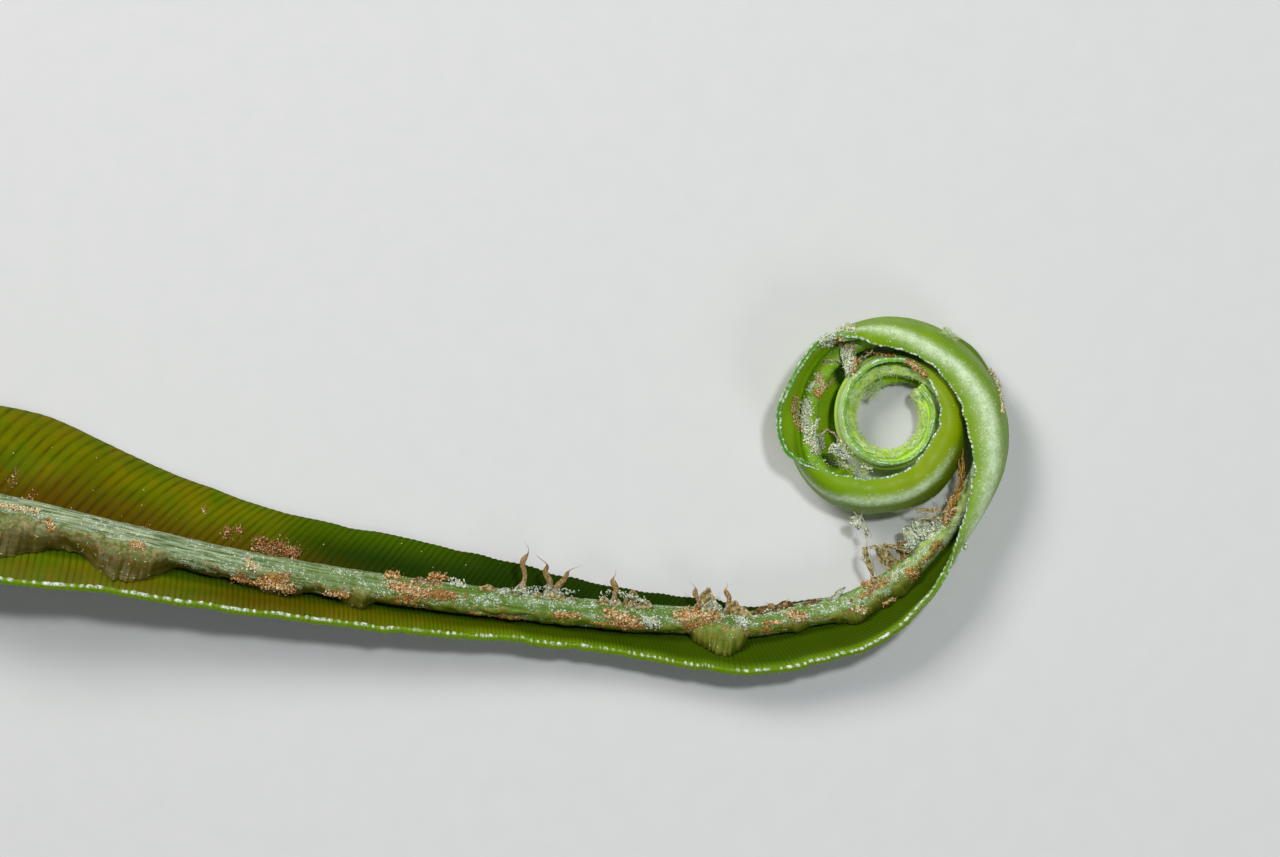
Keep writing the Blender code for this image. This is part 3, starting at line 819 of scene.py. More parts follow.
def midrib_marks(place, degrees):
    """The amount of rust and of silver at points of the midrib."""
    rust = np.zeros_like(place)
    for middle, angle, length, width in CRUSTS:
        wide = width * (1 + 0.35 * ripples(int(angle + 50), 0.05, 0.2, place))
        rust = np.maximum(rust, hill(place, middle, length / 10) * hill(degrees, angle, wide))
    patchy = ripples(71, 0.15, 0.9, place, degrees / 90, waves=20)
    rust = np.clip(rust * (0.9 + 0.6 * patchy), 0, 1)
    silver = np.clip(0.58 + 0.50 * ripples(72, 0.2, 1.4, place, degrees / 60, waves=20), 0.05, 1)
    silver = silver * (1 + 0.6 * hill(place, -0.8, 0.7))
    silver = silver * (1 - 0.75 * ramp(place, -0.2, 0.6) * (1 - ramp(place, 3.2, 4.4)))
    return rust, silver * (1 - 0.6 * rust)


# %% Midrib tube
def midrib_frame(at):
    """Middle of the midrib and the two directions of its section: across to the far side, and up."""
    across = inward(at)
    return midrib_line(at), across, unit(np.cross(heading(at), across))


def on_midrib(at, degrees, lift=0.0):
    """Point on the midrib's skin at an angle, lifted by some metres, and the direction straight out."""
    middle, across, up = midrib_frame(at)
    turn = np.radians(degrees)
    out = across * np.cos(turn)[..., None] + up * np.sin(turn)[..., None]
    return middle + out * (along(MIDRIB_RADIUS, at) * MM + lift)[..., None], out


CUT_FACE_SHARE = 0.82


def rod_faces(rows, around):
    """Triangles of a tube whose foot is closed by a rim and a middle point, and its tip by one point.

    The points after the tube's own are the rim of the cut face, the middle of it, and the tip.
    """
    spot = np.arange(around)
    beside = (spot + 1) % around
    first, last = rows * around, (rows - 1) * around
    foot_middle = np.full(around, first + around)
    lid = np.stack([first + spot, first + beside, beside, spot], axis=-1)
    quads = np.concatenate([tube_faces(rows, around), lid])
    foot = np.stack([foot_middle, first + beside, first + spot], axis=-1)
    tip = np.stack([last + spot, last + beside, foot_middle + 1], axis=-1)
    return np.concatenate([quads[:, [0, 1, 2]], quads[:, [0, 2, 3]], foot, tip])


def make_midrib(material, rows=1350, around=42):
    """Tube along the route: radius = table * (1 + ridges) + scurf, with a flat cut foot and a round tip."""
    run_at = np.linspace(0.0, run[-1], rows)
    at = np.interp(run_at, run, ruler)
    turn = full_turn(around)
    place = np.broadcast_to(at[:, None], (rows, around))
    degrees = np.broadcast_to(np.degrees(turn)[None, :], (rows, around))
    rust, silver = midrib_marks(place, degrees)
    length = (run_at / MM)[:, None] * np.ones_like(place)
    ridges = 0.035 * np.cos(14 * turn)[None, :] * (0.6 + 0.4 * ripples(81, 3.0, 12.0, length, degrees / 40))
    ridges = ridges * (1 - 0.8 * ramp(place, -1.0, 0.6))
    lumps = ripples(82, 0.35, 1.4, length, np.cos(turn)[None, :] * 1.2, np.sin(turn)[None, :] * 1.2, waves=24)
    radius = along(MIDRIB_RADIUS, place) * (1 + ridges) * MM
    radius = radius + (0.026 * lumps * (0.5 + 0.5 * silver) + rust * (0.10 + 0.07 * lumps)) * MM
    radius = radius + 0.045 * lumps * ramp(place, 3.8, 5.0) * MM
    tip = np.clip((TIP_PLACE - at) / 0.08, 0.03, 1.0)[:, None]
    radius = radius * np.sqrt(1 - (1 - tip) ** 2)
    radius[0] *= 0.94
    middle, across, up = midrib_frame(at)
    points = middle[:, None] + ring_round(turn, across, up) * radius[..., None]
    cut_rim = middle[0] + (points[0] - middle[0]) * CUT_FACE_SHARE
    points = np.concatenate([points.reshape(-1, 3), cut_rim, middle[:1], middle[-1:]])
    pad = around + 2
    marks = {
        "place": np.concatenate([place.ravel(), np.full(pad, FOOT_PLACE)]),
        "rust": np.concatenate([rust.ravel(), np.zeros(pad)]),
        "silver": np.concatenate([silver.ravel(), np.zeros(pad)]),
        "pale": np.concatenate([hill(place, -0.45, 0.5).ravel(), np.zeros(pad)]),
        "cut": np.concatenate([np.zeros(rows * around), np.ones(pad - 1), [0.0]]),
    }
    uv = np.column_stack([length.ravel(), degrees.ravel() / 360])
    uv = np.concatenate([uv, np.zeros((pad, 2))])
    return make_piece("midrib_skin", points, rod_faces(rows, around), material, uv, marks)


# %% Midrib skin
def midrib_skin():
    """Grey-green streaks along the stalk, silvery grains with painted glints that follow one mark, rust-brown
    crusts another, and a lime in the coil partly lightened as painted light.
    """
    material, tree, shader = new_material("midrib_skin")
    space = own_space(tree)
    streaks = strands(tree, 0.30, 42.0, 4.0)
    lines = stretch(tree, streaks, 0.36, 0.64)
    young = stretch(tree, mark(tree, "place"), -1.6, 0.6)
    old = stretch(tree, mark(tree, "place"), -7.5, -5.0)
    green = mix(tree, old, screen(66, 90, 38), screen(72, 106, 18))
    streak = mix(tree, old, screen(186, 202, 160), screen(134, 160, 74))
    green = mix(tree, times(tree, lines, stretch(tree, old, 0.0, 1.0, 0.80, 0.50)), green, streak)
    soft = spots(tree, space, 0.9 * MM, 3.0, 0.38)
    lobe = mix(tree, soft, screen(112, 162, 8), screen(142, 184, 30))
    # Inner turns: young lime, lightened as painted light that lifts the shade deep in the coil.
    ring = mix(tree, soft, screen(174, 216, 50), screen(216, 242, 122))
    bright = mix(tree, stretch(tree, mark(tree, "place"), 2.8, 4.2), lobe, ring)
    colour = mix(tree, young, green, bright)
    pale = times(tree, mark(tree, "pale"), stretch(tree, soft, 0.0, 1.0, 0.25, 0.75))
    colour = mix(tree, pale, colour, screen(202, 218, 128))
    distance, chance = grains(tree, space, 0.10 * MM)
    wide = spots(tree, space, 0.6 * MM, 3.0)
    lined = sums(tree, "MAXIMUM", lines, stretch(tree, old, 0.0, 1.0, 0.25, 1.0))
    cover = times(tree, mark(tree, "silver"), times(tree, wide, lined))
    # Painted glints: a share of the silvery grains are whitened.
    painted_glint = sums(tree, "LESS_THAN", chance, times(tree, cover, 0.34))
    veil = stretch(tree, old, 0.0, 1.0, 0.52, 0.28)
    colour = mix(tree, times(tree, cover, veil), colour, screen(208, 222, 182))
    colour = mix(tree, times(tree, painted_glint, 0.85), colour, screen(240, 248, 240))
    patch = clouds(tree, space, 0.40 * MM, 4.0)
    crust = stretch(tree, plus(tree, mark(tree, "rust"), times(tree, patch, 0.9)), 0.72, 1.0)
    rust = mix(tree, spots(tree, space, 0.25 * MM, 3.0), screen(104, 66, 12), screen(200, 146, 70))
    colour = mix(tree, times(tree, crust, 0.8), colour, rust)
    colour = mix(tree, mark(tree, "cut"), colour, screen(150, 158, 108))
    coloured(tree, shader, colour, stretch(tree, painted_glint, 0.0, 1.0, 0.46, 0.22), 0.18)
    height = plus(tree, times(tree, streaks, 0.6), times(tree, patch, crust))
    height = plus(tree, height, times(tree, painted_glint, sums(tree, "SUBTRACT", 1.0, distance)))
    bumped(tree, shader, height, 0.05 * MM, 0.8)
    return material


MIDRIB_SKIN = midrib_skin()
midrib_piece = make_midrib(MIDRIB_SKIN)
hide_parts("midrib")

# %% [markdown]
# ## Papery skirt
# Old scales have fused into a thin brown skirt along the stem's near flank. It hugs the midrib, and swells
# in places into a lobe that hangs free over the blade. One table says how far its edge lies from the
# midrib's middle. Each cross-section is a quadratic curve from the flank to that edge. Fine grey fibres run
# along it, and the largest lobe is pleated like a fan.

# %% Skirt shell
SKIRT_REACH = (
    (-11.2, 1.0), (-10.7, 2.6), (-10.2, 2.0), (-9.6, 3.2), (-9.17, 4.7), (-8.98, 4.2), (-8.76, 3.2),
    (-8.48, 2.5), (-8.28, 3.1), (-8.10, 3.95), (-7.95, 4.1), (-7.74, 3.7), (-7.64, 3.0), (-7.54, 2.2),
    (-7.38, 1.7), (-7.09, 1.85), (-6.90, 1.6), (-6.73, 1.85), (-6.52, 2.4), (-6.36, 2.35), (-6.20, 1.7),
    (-6.06, 1.1), (-5.93, 1.6), (-5.79, 2.2), (-5.66, 2.4), (-5.54, 1.9), (-5.42, 1.3), (-5.10, 1.3),
    (-4.84, 1.5), (-4.60, 1.45), (-4.30, 1.1), (-4.03, 0.8), (-3.93, 1.0), (-3.84, 1.5), (-3.62, 1.55),
    (-3.40, 1.1), (-3.21, 1.3), (-2.96, 1.7), (-2.70, 1.3), (-2.52, 1.0), (-2.39, 1.4), (-2.29, 2.4),
    (-2.08, 3.05), (-1.86, 3.2), (-1.72, 2.4), (-1.63, 1.0), (-1.48, 1.0), (-1.36, 1.65), (-1.25, 1.3),
    (-1.14, 2.0), (-1.04, 1.7), (-0.95, 1.8), (-0.85, 0.9),
)
FAN_PLACE = -2.0
FAN_WIDTH = 0.38


def blade_height_at(at, offset):
    """Height of the near half's inner face at an offset sideways from the midrib's middle, all in metres."""
    shares = np.linspace(0.0, 1.0, 61)
    grid_at = np.repeat(at[:, None], len(shares), axis=1)
    grid = blade_middle(grid_at, np.broadcast_to(shares, grid_at.shape), True)
    sideways = ((grid - midrib_line(grid_at)) * inward(grid_at)).sum(axis=-1)
    nearest = np.abs(sideways + offset[:, None]).argmin(axis=1)
    return grid[np.arange(len(at)), nearest, 2] + LEAF_HALF


def papery_skirt(material, rows=880, columns=22):
    """Closed shell: start (1 - t)^2 + 2 bend t (1 - t) + edge t^2, with t from 0 to 1 across the skirt."""
    first, last = np.interp((SKIRT_REACH[0][0], SKIRT_REACH[-1][0]), ruler, run)
    at = np.interp(np.linspace(first, last, rows), run, ruler)
    length = np.interp(at, ruler, run) / MM
    fan = hill(at, FAN_PLACE, FAN_WIDTH)
    fringe = (0.01 + 0.04 * fan) * ripples(97, 0.30, 1.1, length)
    ragged = 1 + 0.022 * ripples(91, 0.7, 2.4, length) + fringe
    offset = along(SKIRT_REACH, at) * ragged * MM
    girth = along(MIDRIB_RADIUS, at) * MM
    hang = ramp(offset / girth, 0.98, 1.5)
    down = np.degrees(np.arccos(-np.clip(offset / girth, 0.0, 0.985)))
    top_angle = np.minimum(112 + 9 * ripples(93, 1.5, 6.0, length) - 14 * hang, down - 14)
    start, _ = on_midrib(at, top_angle, -0.05 * MM)
    hug, _ = on_midrib(at, down, 0.03 * MM)
    hug_bend, _ = on_midrib(at, (top_angle + down) / 2, girth * 0.10 + 0.10 * MM)
    middle, across, up = midrib_frame(at)
    free = middle - across * offset[:, None]
    free[:, 2] = blade_height_at(at, offset) + (0.40 + 0.10 * ripples(94, 2.0, 7.0, length)) * MM
    swell = (0.55 + 0.25 * ramp(offset / MM, 2.0, 4.0)) * MM
    free_bend = start * 0.35 + free * 0.65 + up * swell[:, None] - across * 0.25 * MM
    edge = hug + (free - hug) * hang[:, None]
    bend = hug_bend + (free_bend - hug_bend) * hang[:, None]
    t = np.linspace(0.0, 1.0, columns)[None, :, None]
    sheet = start[:, None] * (1 - t) ** 2 + 2 * bend[:, None] * t * (1 - t) + edge[:, None] * t**2
    outward = unit(np.gradient(sheet, axis=1))
    face = unit(np.cross(np.gradient(sheet, axis=0), outward))
    flow = length[:, None] * np.ones(columns)
    share = np.ones(rows)[:, None] * np.linspace(0.0, 1.0, columns)
    lumps = 0.07 * ripples(95, 1.2, 5.0, flow, share * 3, waves=20) * ramp(share, 0.0, 0.2)
    fibre_turns = share * 9 + 0.8 * ripples(96, 3.0, 9.0, flow)
    fibres = 0.014 * np.sin(2 * math.pi * fibre_turns) * ramp(share, 0.35, 0.6)
    ends = blunt_ends(rows, 12.0)[:, None]
    thick = (0.14 - 0.07 * share) * ends + 0.01
    pleats = ripples(98, 0.30, 1.6, flow + 1.2 * share, share * 0.8, waves=24) * ramp(share, 0.2, 0.5)
    pleats = pleats * (0.006 + 0.020 * fan)[:, None]
    sheet = sheet - face * ((lumps + fibres + pleats) * ends * MM)[..., None]
    half = face * (thick / 2 * MM)[..., None]
    ring = np.concatenate([sheet - half, (sheet + half)[:, ::-1]], axis=1)
    points = ring.reshape(-1, 3)
    points[:, 2] = np.maximum(points[:, 2], 0.0)
    uv = np.column_stack([out_and_back(flow), out_and_back(share)])
    marks = {"place": np.repeat(at, 2 * columns), "hang": np.repeat(hang, 2 * columns)}
    return make_piece("papery_skirt", points, closed_tube(rows, 2 * columns), material, uv, marks)


# %% Papery skin
def papery_skin():
    """Thin brown-olive paper, greener towards the coil, crusty by the stalk, with grey fibres by its edge."""
    material, tree, shader = new_material("papery_skin")
    space = own_space(tree)
    fibres = strands(tree, 0.45, 22.0, 4.0)
    across = node(tree, "ShaderNodeSeparateXYZ", None, {0: place_map(tree)}).outputs[1]
    young = stretch(tree, mark(tree, "place"), -6.5, -4.0)
    olive = mix(tree, clouds(tree, space, 1.8 * MM, 3.0), screen(56, 64, 4), screen(88, 68, 12))
    leafy = mix(tree, clouds(tree, space, 1.4 * MM, 3.0), screen(70, 104, 3), screen(106, 112, 14))
    inner = mix(tree, young, olive, leafy)
    grey = mix(tree, stretch(tree, fibres, 0.40, 0.62), screen(64, 60, 12), screen(128, 120, 60))
    edge = times(tree, stretch(tree, across, 0.58, 0.95), stretch(tree, young, 0.0, 1.0, 0.9, 0.45))
    colour = mix(tree, edge, inner, grey)
    strength = times(tree, mark(tree, "hang"), stretch(tree, young, 0.0, 1.0, 0.30, 0.62))
    faded = times(tree, stretch(tree, strands(tree, 3.2, 1.1, 3.0), 0.42, 0.62), strength)
    colour = mix(tree, faded, colour, mix(tree, young, screen(96, 88, 36), screen(138, 132, 56)))
    blotch = spots(tree, space, 0.5 * MM, 3.0, 0.4, 0.6)
    root = mix(tree, blotch, screen(98, 116, 56), screen(146, 158, 106))
    root = mix(tree, young, root, mix(tree, blotch, screen(90, 124, 24), screen(134, 156, 70)))
    colour = mix(tree, stretch(tree, across, 0.40, 0.04), colour, root)
    patch = clouds(tree, space, 0.45 * MM, 4.0)
    crusty = times(tree, stretch(tree, across, 0.55, 0.15), stretch(tree, patch, 0.48, 0.66))
    rust = mix(tree, spots(tree, space, 0.22 * MM, 3.0), screen(112, 70, 20), screen(196, 156, 98))
    colour = mix(tree, times(tree, crusty, 0.75), colour, rust)
    _, chance = grains(tree, space, 0.12 * MM)
    colour = mix(tree, sums(tree, "LESS_THAN", chance, 0.006), colour, screen(190, 196, 150))
    coloured(tree, shader, colour, stretch(tree, fibres, 0.3, 0.7, 0.28, 0.48), 0.2)
    bumped(tree, shader, plus(tree, fibres, times(tree, patch, crusty)), 0.05 * MM, 0.8)
    return material


skirt = papery_skirt(papery_skin())

# %% [markdown]
# ## Standing scales
# A few scales still stand on the far edge of the stem. Each is a thin brown membrane with a broad base, which
# narrows to a curled white tip. It is a flattened tube along a wavy path.

# %% Scales as flattened tubes
THINNEST_TIP = 0.012 * MM


def wisp(start, out, side, length, width, bend, seed, rows=26, around=8, flat=0.35):
    """Points, faces and heights of one scale: a path that leaves along out, bends to the side and waves.

    Its width is a bell near the base, a neck above it, and a thread at the tip.
    """
    rng = np.random.default_rng(seed)
    t = np.linspace(0.0, 1.0, rows)
    third = unit(np.cross(out, side))
    wave = 0.07 * np.sin(2 * math.pi * (t * rng.uniform(1.3, 2.3) + rng.uniform(0, 1))) * t
    curl = bend * t**2
    climb = t * (1 - 0.25 * abs(bend) * t)
    path = start + (out * climb[:, None] + side * (curl + wave)[:, None]) * length
    path = path + third * (0.10 * rng.normal() * t**2 * length)[:, None]
    neck = 0.33 * (1 - ramp(t, 0.66, 0.80)) + 0.11
    girth = width * np.maximum(np.exp(-((t - 0.08) / 0.14) ** 2), neck) * (1 - t**6)
    girth = girth * (1 + 0.14 * np.sin(11 * t + rng.uniform(0, 6)))
    girth[-1] = 0.0
    across = unit(np.cross(unit(np.gradient(path, axis=0)), third))
    ring = ring_round(full_turn(around), across, np.broadcast_to(flat * third, across.shape))
    points = path[:, None] + ring * (np.maximum(girth, THINNEST_TIP) / 2)[:, None, None]
    return points.reshape(-1, 3), closed_tube(rows, around, turned=True), np.repeat(t, around)


# Each row is a place, an angle round the midrib, a length and a base width in mm, and the sideways bend.
TALL_SCALES = (
    (-4.07, 32, 5.8, 1.2, -0.05), (-3.80, 30, 5.0, 1.3, -0.30), (-3.74, 30, 4.4, 1.3, 0.50),
    (-3.13, 36, 3.8, 1.3, -0.12), (-2.28, 30, 3.0, 1.1, -0.30), (-1.93, 32, 3.3, 1.1, -0.25),
    (-1.45, 38, 1.4, 1.2, -0.70), (-1.40, 38, 1.3, 1.0, 0.60),
)


def join(parts):
    """Puts several point and face arrays into one, with the numbers in the faces moved on."""
    starts = np.cumsum([0] + [len(part[0]) for part in parts[:-1]])
    points = np.concatenate([part[0] for part in parts])
    faces = np.concatenate([part[1] + start for part, start in zip(parts, starts)])
    extra = [np.concatenate([part[k] for part in parts]) for k in range(2, len(parts[0]))]
    return points, faces, *extra


def standing_scales():
    """All tall scales on the stem's far edge, in one piece."""
    parts = []
    for i, (place, degrees, length, width, bend) in enumerate(TALL_SCALES):
        at = np.array([place])
        start, out = on_midrib(at, np.array([float(degrees)]), -0.15 * MM)
        lean = unit(out + 1.1 * inward(at))
        parts.append(wisp(start[0], lean[0], heading(at)[0], length * MM, width * MM, bend, 200 + i))
    return join(parts)


# %% [markdown]
# Other scales have withered into crumpled scraps: mounds at the feet of the tall ones, and a ragged tangle in
# the fold where the stem meets the coil. A few more hang on the threads there. A scrap is a small sheet whose
# outline is torn and whose middle is crumpled, closed to a shell of a tenth of a millimetre.

# %% Torn scraps
SCRAP_HALF = 0.045 * MM


def scrap(foot, rise, spread, height, width, seed, rows=16, columns=13):
    """Crumpled sheet from its foot along rise. Its outline is sqrt(1 - t^3) times a torn edge."""
    t = np.linspace(0.0, 1.0, rows)[:, None] * np.ones(columns)
    w = np.ones(rows)[:, None] * np.linspace(-1.0, 1.0, columns)
    third = unit(np.cross(rise, spread))
    torn = 1 + 0.16 * ripples(seed, 0.25, 0.8, t, np.sign(w) * 0.7, waves=9)
    outline = np.sqrt(np.clip(1.02 - t**3, 0.0, 1.0)) * torn
    reach = t * (1 + 0.14 * ripples(seed + 1, 0.4, 1.2, w, waves=9) * t)
    crumple = 0.11 * ripples(seed + 2, 0.5, 1.3, t, w, waves=12)
    crumple = crumple + 0.035 * ripples(seed + 3, 0.15, 0.4, t, w, waves=12)
    curl = 0.30 * t**2 - 0.18 * w**2
    sheet = foot + rise * (reach * height)[..., None] + spread * (w * outline * width / 2)[..., None]
    sheet = sheet + third * ((crumple + curl) * min(height, width))[..., None]
    face = unit(np.cross(np.gradient(sheet, axis=0), np.gradient(sheet, axis=1)))
    ring = np.concatenate([sheet + face * SCRAP_HALF, (sheet - face * SCRAP_HALF)[:, ::-1]], axis=1)
    return ring.reshape(-1, 3), closed_tube(rows, 2 * columns, turned=True)


# Each row is a place, an angle round the midrib, a height and a width in mm, how far it leans to the far
# side and then towards the coil, how its width turns towards the camera in degrees, and a tone: 0 silvery,
# 0.5 ochre, 1 dark.
SCRAPS = (
    (-5.10, 45, 0.6, 2.2, 0.7, 0.0, 12, 0.75), (-4.92, 48, 0.6, 1.4, 0.7, 0.0, 10, 0.6),
    (-4.42, 42, 0.7, 1.8, 0.8, 0.2, 10, 0.6), (-4.24, 45, 0.6, 1.4, 0.8, 0.2, 10, 0.1),
    (-4.10, 42, 1.0, 1.2, 0.9, 0.1, 10, 0.3), (-4.00, 48, 0.6, 1.2, 0.6, 0.1, 10, 0.1),
    (-3.92, 42, 0.5, 1.2, 0.8, 0.0, 10, 0.25), (-3.80, 42, 0.9, 1.1, 0.8, 0.0, 10, 0.3),
    (-3.70, 42, 0.8, 1.2, 0.8, 0.3, 10, 0.35), (-3.58, 48, 0.5, 1.2, 0.7, 0.2, 10, 0.2),
    (-3.24, 42, 0.8, 1.4, 0.8, 0.1, 12, 0.35), (-3.12, 46, 0.8, 1.2, 0.7, 0.2, 12, 0.3),
    (-2.97, 42, 1.6, 1.4, 0.9, 0.1, 12, 0.55), (-2.96, 50, 0.8, 1.1, 0.7, 0.1, 10, 0.3),
    (-2.84, 46, 0.9, 1.6, 0.8, 0.5, 12, 0.4),
    (-2.22, 38, 2.0, 2.0, 1.0, 0.2, 5, 0.65), (-2.16, 46, 1.2, 1.8, 0.8, 0.1, 10, 0.15),
    (-1.86, 42, 1.3, 1.8, 0.9, 0.3, 10, 0.65), (-1.74, 46, 0.9, 2.2, 0.8, 0.2, 8, 0.5),
    (-1.52, 38, 0.7, 2.4, 1.0, 0.0, 8, 0.95), (-1.40, 38, 0.8, 2.2, 1.0, 0.1, 6, 1.0),
    (-1.28, 42, 0.5, 1.8, 0.8, 0.0, 8, 0.9),
    (-1.21, 40, 1.9, 0.6, 1.2, 3.6, 0, 0.15), (-1.02, 55, 0.8, 1.4, 0.6, 0.0, 15, 0.6),
    (-0.93, 15, 2.4, 1.4, 1.3, -0.3, 15, 0.6), (-0.86, 22, 1.7, 1.6, 1.1, 0.4, 10, 0.8),
    (-0.78, 15, 2.0, 2.2, 1.0, 0.3, 15, 0.05), (-0.73, 15, 1.8, 1.8, 1.0, 0.4, 25, 0.1),
)


# Scraps that hang on the threads: a foot in mm from the coil's middle, a direction, a height, a width, a turn
# and a tone.
HANGING_SCRAPS = (
    ((-3.4, -9.9, 4.5), (0.15, -1.0, 0.0), 1.2, 1.1, 10, 0.1),
    ((-2.5, -11.0, 4.8), (0.35, -1.0, 0.0), 0.9, 0.5, 20, 0.2),
    ((-2.4, -13.0, 4.8), (0.05, -1.0, -0.1), 1.4, 0.55, 15, 0.35),
    ((-2.2, -14.2, 4.6), (0.35, -1.0, -0.1), 1.7, 0.5, 10, 0.5),
    ((-1.9, -13.0, 4.8), (1.0, 0.10, 0.1), 1.7, 0.32, 15, 0.5),
    ((-0.6, -12.9, 4.9), (1.0, -0.12, 0.0), 1.8, 0.6, 10, 0.6),
    ((-0.5, -13.1, 4.8), (0.05, -1.0, -0.1), 1.5, 0.45, 10, 0.5),
    ((1.0, -12.9, 4.8), (1.0, -0.35, 0.0), 1.3, 0.8, 15, 0.8),
    ((5.2, -9.4, 4.6), (-1.0, 0.10, 0.1), 2.2, 0.35, 20, 0.55),
    ((5.4, -10.1, 4.6), (-1.0, 0.0, 0.1), 2.0, 0.3, 15, 0.5),
    ((-4.3, 7.0, 4.9), (0.15, -1.0, 0.0), 2.7, 1.2, 10, 0.05),
    ((-5.9, -2.9, 4.8), (0.80, -0.55, 0.0), 2.0, 0.9, 10, 0.05),
)


def from_coil(points):
    """Points given in mm from the coil's middle, in metres from the frond's own origin."""
    return np.array(points, float) * MM - np.array([*ORIGIN_FROM_COIL, 0.0])


def turned_scrap(foot, rise, side, height, width, turned, tone, seed):
    """A scrap whose width lies along side, turned by some degrees about rise, with its tone at each point."""
    angle = math.radians(turned)
    spread = side * math.cos(angle) + np.cross(rise, side) * math.sin(angle)
    points, faces = scrap(foot, rise, spread, height * MM, width * MM, seed)
    return points, faces, np.full(len(points), tone)


def torn_scraps():
    """Every scrap of the tables: on the midrib's skin at its place and angle, or hanging on a thread."""
    parts = []
    for i, (place, degrees, height, width, lean, onward, turned, tone) in enumerate(SCRAPS):
        at = np.array([place])
        foot, out = on_midrib(at, np.array([float(degrees)]), -0.10 * MM)
        ahead = heading(at)[0]
        rise = unit(out[0] + lean * inward(at)[0] + onward * ahead)
        side = unit(ahead - rise * ahead.dot(rise))
        parts.append(turned_scrap(foot[0], rise, side, height, width, turned, tone, 400 + 5 * i))
    for i, (foot, rise, height, width, turned, tone) in enumerate(HANGING_SCRAPS):
        rise = unit(np.array(rise))
        side = unit(np.cross(rise, np.array([0.0, 0.0, 1.0])))
        parts.append(turned_scrap(from_coil(foot), rise, side, height, width, turned, tone, 900 + 5 * i))
    return join(parts)


# %% Scale and scrap skin
def scale_skin():
    """A membrane that is grey and glinting at its base, translucent ochre above, and white at a thin tip."""
    material, tree, shader = new_material("scale_skin")
    space = own_space(tree)
    height = mark(tree, "height")
    blotch = clouds(tree, space, 0.4 * MM, 3.0)
    fine = spots(tree, space, 0.15 * MM, 3.0, 0.36, 0.64)
    brown = mix(tree, fine, screen(112, 78, 24), screen(190, 158, 98))
    grey = mix(tree, fine, screen(104, 100, 70), screen(204, 206, 188))
    colour = mix(tree, stretch(tree, plus(tree, height, blotch), 0.60, 0.85), grey, brown)
    tip = times(tree, stretch(tree, height, 0.76, 0.84), 0.6)
    coloured(tree, shader, mix(tree, tip, colour, screen(206, 192, 164)), 0.3)
    bumped(tree, shader, fine, 0.05 * MM, 0.8)
    return material


def scrap_skin():
    """Crumpled membrane, silvery through ochre to dark brown by the scrap's tone, with glinting grains."""
    material, tree, shader = new_material("scrap_skin")
    space = own_space(tree)
    tone = mark(tree, "tone")
    fine = spots(tree, space, 0.40 * MM, 4.0, 0.34, 0.66)
    blotch = spots(tree, space, 0.7 * MM, 3.0, 0.40, 0.60)
    silver = mix(tree, fine, screen(128, 140, 108), screen(204, 214, 184))
    ochre = mix(tree, fine, screen(108, 88, 34), screen(198, 178, 122))
    dark = mix(tree, fine, screen(66, 42, 10), screen(132, 100, 46))
    aged = stretch(tree, plus(tree, tone, times(tree, blotch, 0.3)), 0.25, 0.55)
    colour = mix(tree, aged, silver, ochre)
    colour = mix(tree, stretch(tree, tone, 0.65, 0.95), colour, dark)
    _, chance = grains(tree, space, 0.10 * MM)
    glint = sums(tree, "LESS_THAN", chance, stretch(tree, tone, 0.0, 0.5, 0.14, 0.03))
    colour = mix(tree, glint, colour, screen(240, 246, 236))
    coloured(tree, shader, colour, stretch(tree, fine, 0.0, 1.0, 0.28, 0.5), 0.3)
    bumped(tree, shader, fine, 0.05 * MM, 0.5)
    return material


points, faces, height = standing_scales()
make_piece("standing_scales", points, faces, scale_skin(), marks={"height": height})
points, faces, tone = torn_scraps()
withered = make_piece("torn_scraps", points, faces, scrap_skin(), marks={"tone": tone})

# %% [markdown]
# ## Threads
# Fine threads of old scales hang in the fold under the coil, and tie the stem to the whorl above it. A
# thread is a thin tube along a smooth curve through a few points. The points are in mm from the coil's
# middle.

